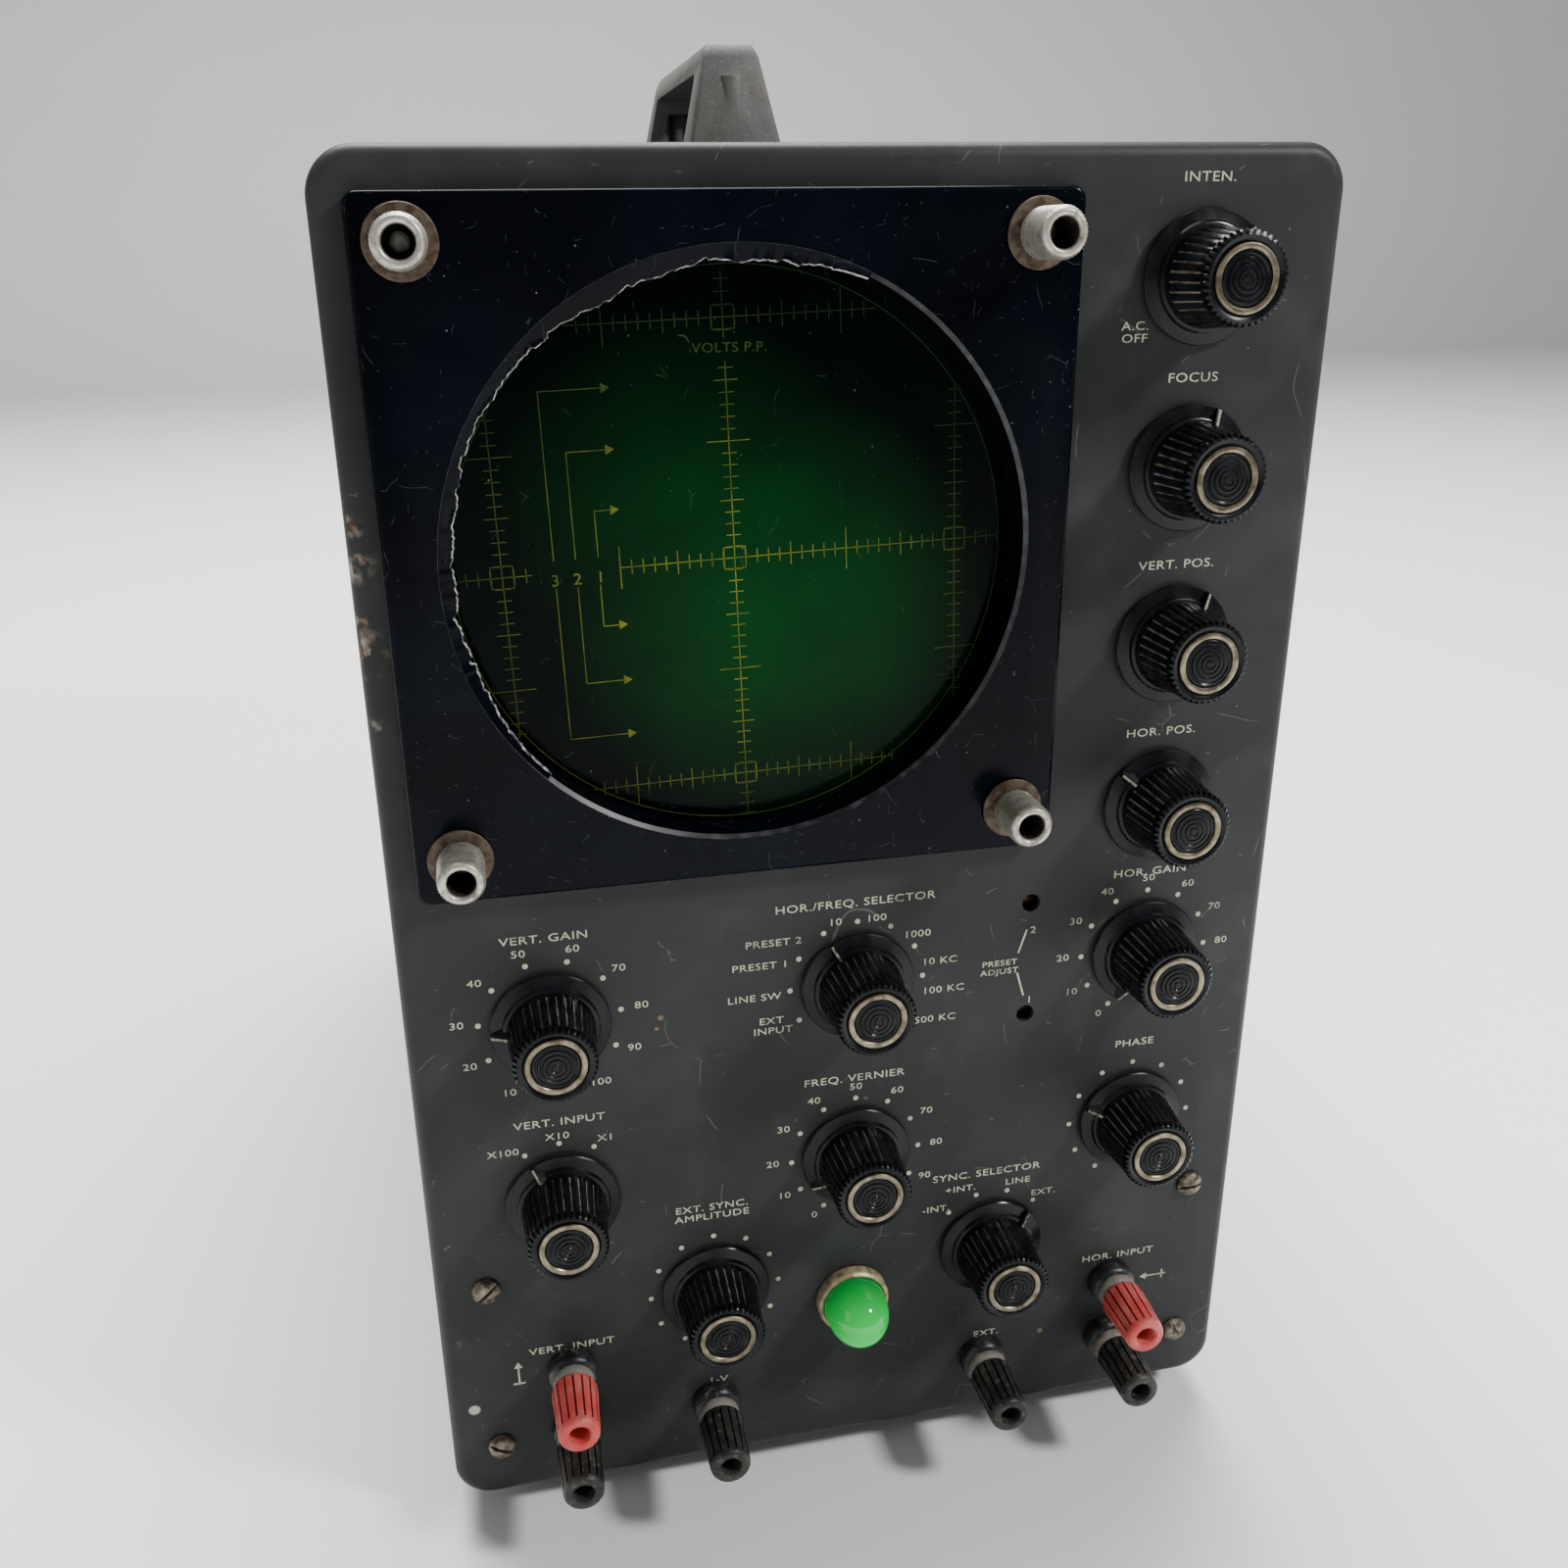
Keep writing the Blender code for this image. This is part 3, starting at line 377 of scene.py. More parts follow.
TUBE = (-27.0, 252.0)
LAMP = (-0.8, 47.9)
HOLE_RADII = {"knob": 0.0048, "post": 0.0038, "preset": 0.00235}
holes = [(*TUBE, 0.067), (*LAMP, 0.0084)]
for node, pivot in pivots.items():
    for start, radius in HOLE_RADII.items():
        if node.startswith(start):
            holes.append((*on_panel(pivot), radius))
screw_places = [(side * 96.7, height) for side in (-1, 1) for height in (17, 68)]
holes += [(x, height, 0.0022) for x, height in screw_places]
carve(panel, punches(holes, -4, 6))
fit("panel_sheet", panel_enamel, nodes=["front_panel"], angle=30)

# The four bezel studs are pressed into the panel from behind.  They are turned steel,
# and their ends show in the hollow of the thumb nuts.
zinc_plate = mottled(
    "zinc plated steel", "#a9a69b", "#6f6a5c", 0.0012, 0.40, 0.70, 5.0, 0.00004,
    Metallic=1.0, Roughness=0.42,
)
nut_names = [node for node in pivots if node.startswith("thumb_nut")]
STUD_LENGTH = 0.0105
for node in nut_names:
    spot = pivots[node] + Vector((0, 0.0015 - STUD_LENGTH / 2, 0))
    bpy.ops.object.select_all(action="DESELECT")
    rod(spot, 0.0021, STUD_LENGTH, 32)
    bpy.ops.object.transform_apply(location=True, rotation=True, scale=True)
    bpy.ops.object.mode_set(mode="EDIT")
    choose("EDGE", lambda edge: lies_at(edge, spot.y - STUD_LENGTH / 2))
    bpy.ops.mesh.bevel(offset=0.0004, segments=2, affect="EDGES")
    fit("stud_" + node.replace("thumb_nut_", ""), zinc_plate)


# ---------------------------------------------------------------- panel lettering
# Cream silk-screened ink: what each control does, dial numbers and dial dots.  It is a few
# hundredths of a millimetre thick and rubbed thin in places.
screen_ink = mottled(
    "silk-screened cream ink", "#c2bda6", "#74736a", 0.004, 0.52, 0.75, 6.0, 0.00002, Roughness=0.6
)
INK_DEPTH = -0.03

labels = [
    ("INTEN.", 76.4, 329.0, 2.1), ("FOCUS", 76.4, 287.6, 2.1), ("VERT. POS.", 76.4, 245.4, 2.1),
    ("HOR. POS.", 76.2, 204.2, 2.1), ("HOR. GAIN", 76.6, 166.8, 2.1), ("PHASE", 76.4, 117.0, 2.1),
    ("HOR. INPUT", 77.0, 48.0, 2.1), ("EXT.", 38.6, 28.0, 2.0), ("1-V", -38.0, 27.6, 2.0),
    ("VERT. INPUT", -76.4, 47.0, 2.1), ("VERT. INPUT", -75.2, 116.0, 2.1),
    ("VERT. GAIN", -75.6, 166.2, 2.1),
    ("EXT. SYNC.", -38.2, 84.3, 2.0), ("AMPLITUDE", -38.2, 81.5, 2.0), ("SYNC. SELECTOR", 36.6, 82.4, 2.1),
    ("-INT.", 22.6, 72.8, 1.9), ("+INT.", 29.4, 78.2, 1.9), ("LINE", 45.6, 78.2, 1.9),
    ("EXT.", 53.2, 73.4, 1.9), ("FREQ. VERNIER", -0.4, 117.4, 2.1),
    ("HOR./FREQ. SELECTOR", -0.4, 166.8, 2.1),
    ("PRESET", 37.4, 145.2, 1.6), ("ADJUST", 37.4, 142.8, 1.6), ("2", 45.9, 153.8, 1.9),
    ("1", 45.9, 133.8, 1.9), ("A.C.", 61.6, 298.8, 1.9), ("OFF", 61.6, 296.2, 1.9),
    ("X100", -89.4, 108.8, 1.9), ("X10", -76.0, 111.8, 1.9), ("X1", -64.2, 109.6, 1.9),
    ("PRESET 2", -21.0, 158.2, 1.9), ("PRESET 1", -24.4, 152.2, 1.9), ("LINE SW", -26.0, 143.6, 1.9),
    ("EXT", -21.8, 136.8, 1.9), ("INPUT", -21.4, 134.0, 1.9), ("10", -5.6, 162.0, 1.9),
    ("100", 4.8, 162.0, 1.9), ("1000", 15.4, 156.4, 1.9), ("10 KC", 21.4, 148.2, 1.9),
    ("100 KC", 22.6, 140.0, 1.9), ("500 KC", 20.6, 131.8, 1.9),
]
DOT_RING = 17.0
NUMBERS_ACROSS, NUMBERS_UP = 22.0, 20.2
dots = []


def dial(knob, turns, numbers=()):
    """Dots round a control at these turns from twelve o'clock, each with its number, if any."""
    x, height = on_panel(pivots[knob])
    for i, turn in enumerate(turns):
        across = math.sin(math.radians(turn))
        up = math.cos(math.radians(turn))
        dots.append((x + DOT_RING * across, height + DOT_RING * up))
        if numbers:
            spot = (x + NUMBERS_ACROSS * across, height + NUMBERS_UP * up + 1.1)
            labels.append((str(numbers[i]), *spot, 1.9))


dial("knob_horizontal_gain", range(-150, 121, 30), range(0, 91, 10))
dial("knob_frequency_vernier", range(-150, 121, 30), range(0, 91, 10))
dial("knob_vertical_gain", [-150 + i * 100 / 3 for i in range(10)], range(10, 101, 10))
dial("knob_phase", range(-150, 151, 30))
dial("knob_sync_amplitude", range(-150, 151, 30))
dial("knob_frequency_selector", range(-120, 121, 30))
dial("knob_vertical_input", (-30, 0, 30))
dial("knob_sync_selector", (-45, -15, 15, 45))


CAPITALS = 0.729  # how tall the built-in font's capitals are in text of size 1
HALF_CAPITALS = 0.36


def engrave(words, depth, stretch=1.28):
    """Lettering of (text, x, height of its top, capital height) in millimetres, as one mesh."""
    bpy.ops.object.select_all(action="DESELECT")
    made = []
    for text, x, top, tall in words:
        bpy.ops.object.text_add(location=(0, 0, 0))
        word = bpy.context.object
        word.data.body = text
        word.data.align_x = "CENTER"
        word.data.align_y = "CENTER"
        word.data.resolution_u = 3
        word.data.extrude = 0.012
        word.data.space_character = 1.08
        made.append((word, x, top, tall))
    for word, *_ in made:
        word.select_set(True)
    bpy.ops.object.convert(target="MESH")
    for word, x, top, tall in made:
        size = tall / 1000 / CAPITALS
        place_in = Matrix.Translation(at(x, depth, top)) @ Matrix.Rotation(math.pi / 2, 4, "X")
        shift = Matrix.Translation((0, -HALF_CAPITALS, 0))
        word.data.transform(place_in @ Matrix.Diagonal((size * stretch, size, size, 1)) @ shift)
    bpy.context.view_layer.objects.active = made[0][0]
    bpy.ops.object.join()
    return bpy.context.object


engrave(labels, INK_DEPTH)
bpy.ops.object.mode_set(mode="EDIT")
for x, height in dots:
    rod(at(x, INK_DEPTH, height), 0.00068, 0.0001, 14)


def stroke(x1, z1, x2, z2, width, depth, thick=0.1):
    """In edit mode, add a flat bar of ink between two points on the panel, in millimetres."""
    length = math.hypot(x2 - x1, z2 - z1)
    bpy.ops.mesh.primitive_cube_add(
        size=0.001,
        location=at((x1 + x2) / 2, depth, (z1 + z2) / 2),
        rotation=(0, -math.atan2(z2 - z1, x2 - x1), 0),
        scale=(length, thick, width),
    )


HEAD = 1.9


def arrow_head(x, z, angle, depth, thick=0.1):
    """In edit mode, add a three-sided head whose tip is at the point and looks along the angle."""
    middle = at(x - HEAD / 2 * math.cos(angle), depth, z - HEAD / 2 * math.sin(angle))
    bpy.ops.mesh.primitive_cylinder_add(
        vertices=3,
        radius=0.66 * HEAD / 1000,
        depth=thick / 1000,
        location=middle,
        rotation=(math.pi / 2, math.pi / 2 - angle, 0),
    )


for x1, z1, x2, z2 in (
    (44.2, 153.2, 42.2, 146.8),
    (42.2, 141.2, 44.2, 134.4),
    (-90.6, 36.2, -90.6, 41.8),
    (-92.2, 36.6, -89.0, 36.6),
    (85.8, 37.8, 92.4, 37.8),
    (91.2, 36.4, 91.2, 39.2),
):
    stroke(x1, z1, x2, z2, 0.45, INK_DEPTH)
arrow_head(-90.6, 43.2, math.pi / 2, INK_DEPTH)
arrow_head(84.8, 37.8, math.pi, INK_DEPTH)
fit("panel_lettering", screen_ink, angle=20)


# ---------------------------------------------------------------- bezel
# A moulded black plate 4.8 mm thick, glossy where it isn't scratched or dusty, with a round
# lip behind that holds the filter.
gloss_black, tree, shader, place = finish("moulded glossy black plastic", Specular_IOR_Level=0.07)
cloud = patches(tree, place, 0.030, 0.40, 0.75)
colour = add(tree, "MixRGB", cloud, linear("#03050a"), linear("#060a14"))
colour = coat(tree, colour, dust(tree, place, 0.0042, 0.00024, 0.40), 0.55, "#7f8284")
colour = coat(tree, colour, dust(tree, place, 0.0019, 0.00014, 0.45), 0.45, "#7f8284")
colour = coat(tree, colour, scored(tree, place, 0.012, 0.00016, 0.40), 0.26, "#5d6066")
colour = coat(tree, colour, scored(tree, place, 0.005, 0.00014, 0.38), 0.26, "#5d6066")
tree.links.new(colour, shader.inputs["Base Color"])
smear = patches(tree, place, 0.016, 0.35, 0.75, 5.0)
haze = add(tree, "MapRange", Value=smear, To_Min=0.13, To_Max=0.34)
tree.links.new(haze, shader.inputs["Roughness"])
relief(tree, shader, patches(tree, place, 0.012, 0.3, 0.7, 1.0), 0.00006)

chipped_edge = mottled(
    "broken edge of black plastic", "#26272a", "#c9c9c4", 0.0016, 0.40, 0.60, 6.0, 0.00015, Roughness=0.55
)
worn_edge = mottled(
    "rubbed edge of black plastic", "#07080b", "#34363a", 0.0030, 0.45, 0.66, 5.0, Roughness=0.38
)
OPENING = 63.5
BEZEL_FRONT = -4.8


def turned(outline, centre, steps, axis=(0, 1, 0)):
    """Spin an outline of (radius, distance) points, in millimetres, about a line through centre.

    An outline that doesn't start and end on the line is closed on itself, and makes a ring.
    """
    bpy.ops.object.select_all(action="DESELECT")
    bpy.ops.mesh.primitive_plane_add(size=0.001, location=(0, 0, 0))
    bpy.ops.object.mode_set(mode="EDIT")
    bpy.ops.mesh.select_mode(type="VERT")
    bpy.ops.mesh.select_all(action="SELECT")
    bpy.ops.mesh.merge(type="CENTER")
    along = Vector(axis)
    across = Vector((1, 0, 0))
    spots = [centre + across * (r / 1000) + along * (d / 1000) for r, d in outline]
    bpy.ops.transform.translate(value=spots[0])
    for before, after in zip(spots, spots[1:]):
        bpy.ops.mesh.extrude_vertices_move(TRANSFORM_OT_translate={"value": after - before})
    if outline[0][0] > 0 or outline[-1][0] > 0:
        ends = (spots[0], spots[-1])
        choose("VERT", lambda vert: min((vert.co - end).length for end in ends) < 1e-6)
        bpy.ops.mesh.edge_face_add()
    bpy.ops.mesh.select_all(action="SELECT")
    bpy.ops.mesh.spin(steps=steps, angle=math.tau, center=centre, axis=axis)
    bpy.ops.mesh.select_all(action="SELECT")
    bpy.ops.mesh.remove_doubles(threshold=1e-6)
    bpy.ops.mesh.normals_make_consistent(inside=False)
    bpy.ops.mesh.select_all(action="DESELECT")
    return bpy.context.object


plate = block(at(-102.6, BEZEL_FRONT, 178.5), at(46.6, -0.3, 326.5))
choose("EDGE", lambda edge: runs(edge, 1))
bpy.ops.mesh.bevel(offset=0.003, segments=8, affect="EDGES")
front_y = FACE + BEZEL_FRONT / 1000
choose("EDGE", lambda edge: lies_at(edge, front_y))
bpy.ops.mesh.bevel(offset=0.0012, segments=4, affect="EDGES")
bpy.ops.object.mode_set(mode="OBJECT")
axis_spot = at(TUBE[0], 0, TUBE[1])
lip = [(0, -2.0), (66.5, -2.0), (66.5, 4.5), (0, 4.5)]
carve(plate, turned(lip, axis_spot, 180), "UNION")
bore = [(0, -20), (64.4, -20), (64.4, -4.6), (OPENING, -3.7), (OPENING, 20), (0, 20)]
carve(plate, turned(bore, axis_spot, 180))
carve(plate, punches([(*on_panel(pivots[node]), 0.0024) for node in nut_names], -20, 20))
bezel = bpy.context.object


def second_surface(piece):
    """Give the selected faces the piece's second material."""
    piece.active_material_index = 1
    bpy.ops.object.material_slot_assign()


def clock(spot):
    """How far out from the tube's axis a place is, and its angle from three o'clock, anticlockwise."""
    dx = spot.x - axis_spot.x
    dz = spot.z - axis_spot.z
    return math.hypot(dx, dz), math.degrees(math.atan2(dz, dx)) % 360


def on_rim(vert):
    """Whether a corner is on the chamfer round the opening."""
    return 0.0634 < clock(vert.co)[0] < 0.0646 and vert.co.y < FACE - 0.0035


for surface in (gloss_black, worn_edge):
    bezel.data.materials.append(surface)
bpy.ops.object.mode_set(mode="EDIT")
choose("FACE", lambda face: all(on_rim(vert) for vert in face.verts))
second_surface(bezel)
fit("bezel_moulding", gloss_black, nodes=["bezel_plate"], angle=30)

# The torn lip: a soft inner edge once went all the way round the opening, and is left only
# from the left round to the top, with a pale ragged edge where the rest broke away.
LIP_STEPS = 720
LIP_LEFT = (
    (64, 0.0), (76, 1.2), (90, 2.1), (104, 2.6), (118, 3.0), (132, 1.6),
    (146, 1.0), (162, 1.5), (180, 1.9), (196, 1.6), (212, 0.6), (226, 0.0),
)
turned([(64.3, -4.5), (63.2, -3.9), (62.9, -2.9), (64.3, -2.7)], axis_spot, LIP_STEPS)
choose("VERT", lambda vert: not 64 <= clock(vert.co)[1] <= 226)
bpy.ops.mesh.delete(type="VERT")
torn = bpy.context.object
chance = random.Random(7)
ragged = [0.0]
for i in range(LIP_STEPS):
    leap = chance.uniform(-0.22, 0.22) if chance.random() < 0.93 else chance.uniform(-0.9, 0.9)
    ragged.append(0.86 * ragged[-1] + leap)
mesh = bmesh.from_edit_mesh(torn.data)
for vert in mesh.verts:
    reach, angle = clock(vert.co)
    if reach > 0.0637:
        continue
    for (low, before), (high, after) in zip(LIP_LEFT, LIP_LEFT[1:]):
        if low <= angle <= high:
            width = before + (after - before) * (angle - low) / (high - low)
    width = max(width + ragged[round(angle * 2)] * min(1.0, width), 0.0)
    inward = Vector((axis_spot.x - vert.co.x, 0, axis_spot.z - vert.co.z)).normalized()
    sag = 0.35 * width + 0.3 * ragged[round(angle * 2) - 3]
    vert.co += inward * (width / 1000) + Vector((0, sag / 1000, 0))
bmesh.update_edit_mesh(torn.data)
for surface in (gloss_black, chipped_edge):
    torn.data.materials.append(surface)
choose("FACE", lambda face: max(clock(vert.co)[0] for vert in face.verts) < 0.0637)
second_surface(torn)
fit("bezel_torn_lip", gloss_black, angle=50)


# ---------------------------------------------------------------- graticule filter
# A disc of green acrylic, 2.5 mm thick, which darkens the tube's face.  Painted light: a dim
# green light is painted on it below the middle and more faintly up to the left, in its colour
# and as emission, standing in for light on the tube's face behind it.  Dust and hairline
# scratches lie on it.
acrylic, tree, shader, place = finish(
    "green cast acrylic over the phosphor", Specular_IOR_Level=0.05, Emission_Strength=0.28
)
# Painted light: bright below the middle, fainter up to the left and dark elsewhere, in both the colour and
# the emission.
bloom = near(tree, place, at(-19, 5, 238), 0.004, 0.050)
faint = near(tree, place, at(-38, 5, 262), 0.002, 0.042)
faint = add(tree, "Math", faint, 0.50, operation="MULTIPLY")
both = add(tree, "Math", bloom, faint, operation="MAXIMUM")
cloud = add(tree, "Math", both, patches(tree, place, 0.022, 0.20, 0.80, 2.0), operation="MULTIPLY")
even = add(tree, "Math", both, 0.60, operation="MULTIPLY")
painted_glow = add(tree, "Math", cloud, 0.55, even, operation="MULTIPLY_ADD")
colour = add(tree, "MixRGB", painted_glow, linear("#000604"), linear("#00300f"))
colour = coat(tree, colour, dust(tree, place, 0.0060, 0.00028, 0.40), 0.55, "#5d8f5c")
colour = coat(tree, colour, dust(tree, place, 0.0024, 0.00014, 0.30), 0.40, "#5d8f5c")
colour = coat(tree, colour, scored(tree, place, 0.010, 0.00014, 0.38), 0.22, "#4f7a4c")
tree.links.new(colour, shader.inputs["Base Color"])
smear = patches(tree, place, 0.014, 0.35, 0.75, 4.0)
haze = add(tree, "MapRange", Value=smear, To_Min=0.07, To_Max=0.22)
tree.links.new(haze, shader.inputs["Roughness"])
light = add(tree, "MixRGB", painted_glow, linear("#000301"), linear("#004a14"))
tree.links.new(light, shader.inputs["Emission Color"])
disc = [(0, 4.8), (66.2, 4.8), (66.5, 5.1), (66.5, 7.0), (66.2, 7.3), (0, 7.3)]
turned(disc, axis_spot, 128)
fit("filter_disc", acrylic, nodes=["graticule_filter"])

# The scale: lines cut into the filter's face and filled with yellow ink, in tenths of an inch,
# with calibrating brackets for one, two and three inches.  It sits a little crooked.
scale_ink, tree, shader, place = finish(
    "yellow ink in engraved lines", Roughness=0.5, Specular_IOR_Level=0.1
)
# Painted light: the ink is painted bright near the middle, where the filter's painted light is, and dim
# towards the edges.
lit = near(tree, place, at(-30, 5, 238), 0.020, 0.066)
thin = patches(tree, place, 0.005, 0.30, 0.62, 4.0)
bright = add(tree, "MixRGB", thin, linear("#7f8226"), linear("#4a5a1a"))
colour = add(tree, "MixRGB", lit, linear("#1c2c12"), bright)
tree.links.new(colour, shader.inputs["Base Color"])
SCALE_MIDDLE = (-27.5, 251.0)
TILT = math.radians(1.7)
INCH = 25.4
TENTH = INCH / 10
LINE = 0.20
LINE_DEPTH = 4.78


def on_scale(x, z):
    """A place on the scale, turned with it, in millimetres on the panel."""
    return (
        SCALE_MIDDLE[0] + x * math.cos(TILT) - z * math.sin(TILT),
        SCALE_MIDDLE[1] + x * math.sin(TILT) + z * math.cos(TILT),
    )


def rule(x1, z1, x2, z2):
    """In edit mode, add a line between two points on the scale."""
    stroke(*on_scale(x1, z1), *on_scale(x2, z2), LINE, LINE_DEPTH, 0.06)


def axis_line(fixed, low, high, upright):
    """A scale line with a tick each tenth of an inch, longer at each half inch and inch."""
    line = (fixed, low, fixed, high) if upright else (low, fixed, high, fixed)
    rule(*line)
    for tenth in range(math.ceil(low / TENTH), math.floor(high / TENTH) + 1):
        along = tenth * TENTH
        if any(abs(along - crossing) < 2.5 for crossing in (-2 * INCH, 0, 2 * INCH)):
            continue
        half = 4.7 if tenth % 10 == 0 else 2.6 if tenth % 5 == 0 else 1.6
        if upright:
            rule(fixed - half, along, fixed + half, along)
        else:
            rule(along, fixed - half, along, fixed + half)


words = [("VOLTS P.P.", *on_scale(1.2, 45.6), 2.1)]
for text, x in (("3", -39.6), ("2", -34.8), ("1", -29.8)):
    words.append((text, *on_scale(x, -0.5), 2.6))
engrave(words, LINE_DEPTH, 1.1)
bpy.ops.object.mode_set(mode="EDIT")
for fixed, low, high, upright in (
    (0, -61, 42, True), (0, 46.5, 60, True), (0, -INCH, 61.5, False), (0, -61, -44.5, False),
    (-2 * INCH, -37, 34, True), (2 * INCH, -38, 34, True),
    (-2 * INCH, -35.5, 36, False), (2 * INCH, -33, 33, False),
):
    axis_line(fixed, low, high, upright)
for x, z in ((0, 0), (2 * INCH, 0), (-2 * INCH, 0), (0, 2 * INCH), (0, -2 * INCH)):
    for sx, sz in ((1, 1), (1, -1), (-1, -1), (-1, 1)):
        rule(x + 2.4 * sx, z + 2.4 * sz, x + 2.4 * sz, z - 2.4 * sx)
for inches, x in ((3, -39.6), (2, -34.9), (1, -30.0)):
    reach = inches * INCH / 2
    for sign in (-1, 1):
        rule(x, sign * 3.0 - 0.4, x, sign * reach)
        rule(x, sign * reach, -26.5, sign * reach)
        tip = on_scale(-25.0, sign * reach)
        arrow_head(*tip, TILT, LINE_DEPTH, 0.06)
bpy.ops.object.mode_set(mode="OBJECT")
marks = bpy.context.object
ring = [(61.2, 4.75), (61.4, 4.75), (61.4, 4.81), (61.2, 4.81)]
turned(ring, at(SCALE_MIDDLE[0], 0, SCALE_MIDDLE[1]), 128)
bpy.ops.object.mode_set(mode="OBJECT")
marks.select_set(True)
bpy.context.view_layer.objects.active = marks
bpy.ops.object.join()
fit("filter_scale", scale_ink, angle=20)


# ---------------------------------------------------------------- thumb nuts
# Hollow brass nuts, nickel plated, with a diamond knurl rolled on the outside and a smooth
# chamfered end.  Each turns on a steel washer that has gone brown with rust.
nickel = mottled(
    "worn nickel plate", "#c6c2b6", "#857e70", 0.0022, 0.42, 0.68, 5.0, 0.00003, (0.34, 0.60), Metallic=0.7
)
rusty_steel = mottled(
    "steel gone brown with rust", "#5f5548", "#46352a", 0.0018, 0.38, 0.62, 6.0, 0.00008,
    Metallic=0.65, Roughness=0.55,
)
# The nuts' bores are given a darker colour than the nickel outside.
dark_bore_colour = mottled(
    "dark grime in the bore", "#15130f", "#3a332a", 0.0012, 0.36, 0.62, 5.0, 0.00006,
    Metallic=0.3, Roughness=0.6,
)

KNURL_ROWS = 26
KNURL_STEPS = 76
KNURL_START = 6.9
KNURL_PITCH = 0.4
knurl = [(4.9, -KNURL_START - KNURL_PITCH * i) for i in range(KNURL_ROWS + 1)]
nut_outline = [(2.4, -5.75), (4.3, -5.75), (4.6, -6.3)] + knurl
nut_outline += [(4.85, -17.7), (4.65, -18.2), (4.3, -18.5), (3.6, -18.5), (3.25, -18.2), (3.1, -17.6)]
nut_outline += [(3.0, -10.5), (2.4, -9.7)]
for node in nut_names:
    pivot = pivots[node]
    step = math.tau / KNURL_STEPS

    def out(vert):
        """How far a corner is from the nut's axis."""
        return math.hypot(vert.co.x - pivot.x, vert.co.z - pivot.z)

    def proud(vert):
        """Whether this is one of the knurl's points: every second corner of its grid."""
        gap = vert.co - pivot
        row = (-gap.y * 1000 - KNURL_START) / KNURL_PITCH
        column = round(math.atan2(gap.z, gap.x) / step)
        on_barrel = out(vert) > 0.00488 and -0.1 < row < KNURL_ROWS + 0.1
        return on_barrel and (round(row) + column) % 2 == 0

    nut = turned(nut_outline, pivot, KNURL_STEPS)
    choose("VERT", proud)
    bpy.ops.transform.resize(value=(1.060, 1.0, 1.060), center_override=pivot)
    choose("VERT", lambda vert: 0.00488 < out(vert) < 0.00492)
    bpy.ops.transform.resize(value=(0.975, 1.0, 0.975), center_override=pivot)
    for surface in (nickel, dark_bore_colour):
        nut.data.materials.append(surface)
    # The hollow bore takes the darker colour.
    choose("FACE", lambda face: max(out(vert) for vert in face.verts) < 0.00312)
    second_surface(nut)
    fit(node.replace("thumb_nut", "nut"), nickel, node, [node], angle=50)
    washer = [(4.6, -5.1), (7.05, -5.1), (7.25, -5.3), (7.25, -5.7), (7.05, -5.9), (4.6, -5.9)]
    turned(washer, pivot, 64)
    fit(node.replace("thumb_nut", "washer"), rusty_steel, node)


# ---------------------------------------------------------------- knobs
# Phenolic knobs, pressed in one shot: a skirt with a pointer, a fluted barrel, a scalloped
# rim and a domed end with turned grooves.  A flat brass ring, plated, is let into the end,
# the pointer's line is filled with cream paint, and dust has caked in the flutes.
phenolic, tree, shader, place = finish("pressed black phenolic", Specular_IOR_Level=0.20)
bloom = patches(tree, place, 0.006, 0.42, 0.75, 5.0)
colour = add(tree, "MixRGB", bloom, linear("#0c0d10"), linear("#181a1e"))
colour = coat(tree, colour, dust(tree, place, 0.0028, 0.00017, 0.40), 0.5, "#77736c")
tree.links.new(colour, shader.inputs["Base Color"])
haze = add(tree, "MapRange", Value=bloom, To_Min=0.20, To_Max=0.42)
tree.links.new(haze, shader.inputs["Roughness"])
caked = mottled(
    "brown dust caked in the flutes", "#5c5047", "#a89988", 0.0030, 0.36, 0.60, 5.0, 0.0001,
    Roughness=0.8, Specular_IOR_Level=0.2,
)
ring_metal = mottled(
    "dull plated brass ring", "#918975", "#5c5446", 0.0025, 0.36, 0.66, 5.0, 0.00003,
    Metallic=1.0, Roughness=0.36,
)
cream_paint = mottled(
    "cream paint in the pointer line", "#8f8878", "#37332c", 0.0012, 0.50, 0.62, 4.0, Roughness=0.6
)

FLUTES = 30
KNOB_STEPS = 4 * FLUTES
shaft_and_skirt = [
    (0, 11.0), (3.0, 11.0), (3.0, -1.0), (13.9, -1.0), (14.3, -1.25), (14.3, -1.55), (14.05, -1.85),
    (13.2, -2.05), (11.7, -2.5), (11.45, -2.9), (11.3, -3.2), (10.95, -3.4), (10.6, -3.45),
]
barrel_and_rim = [
    (10.45, -3.9), (10.4, -4.4), (9.35, -16.5), (9.32, -16.9), (9.72, -17.2), (9.75, -17.9),
    (9.6, -18.5), (9.2, -18.95), (8.6, -19.1), (7.9, -18.9), (7.45, -18.6), (7.3, -18.3),
]
grooved_end = [
    (5.65, -18.3), (5.6, -18.75), (5.35, -18.95), (5.0, -19.0), (4.65, -18.75), (4.35, -18.75),
    (4.15, -19.15), (3.7, -19.2), (3.45, -18.95), (3.2, -18.95), (3.0, -19.3), (2.55, -19.35),
    (2.3, -19.05), (2.05, -19.05), (1.85, -19.4), (1.45, -19.42), (1.2, -19.15), (0.95, -19.15),
    (0.7, -19.45), (0, -19.5),
]
origin = Vector((0, 0, 0))
step = math.tau / KNOB_STEPS
pattern = turned(shaft_and_skirt + barrel_and_rim + grooved_end, origin, KNOB_STEPS)
for surface in (phenolic, caked):
    pattern.data.materials.append(surface)


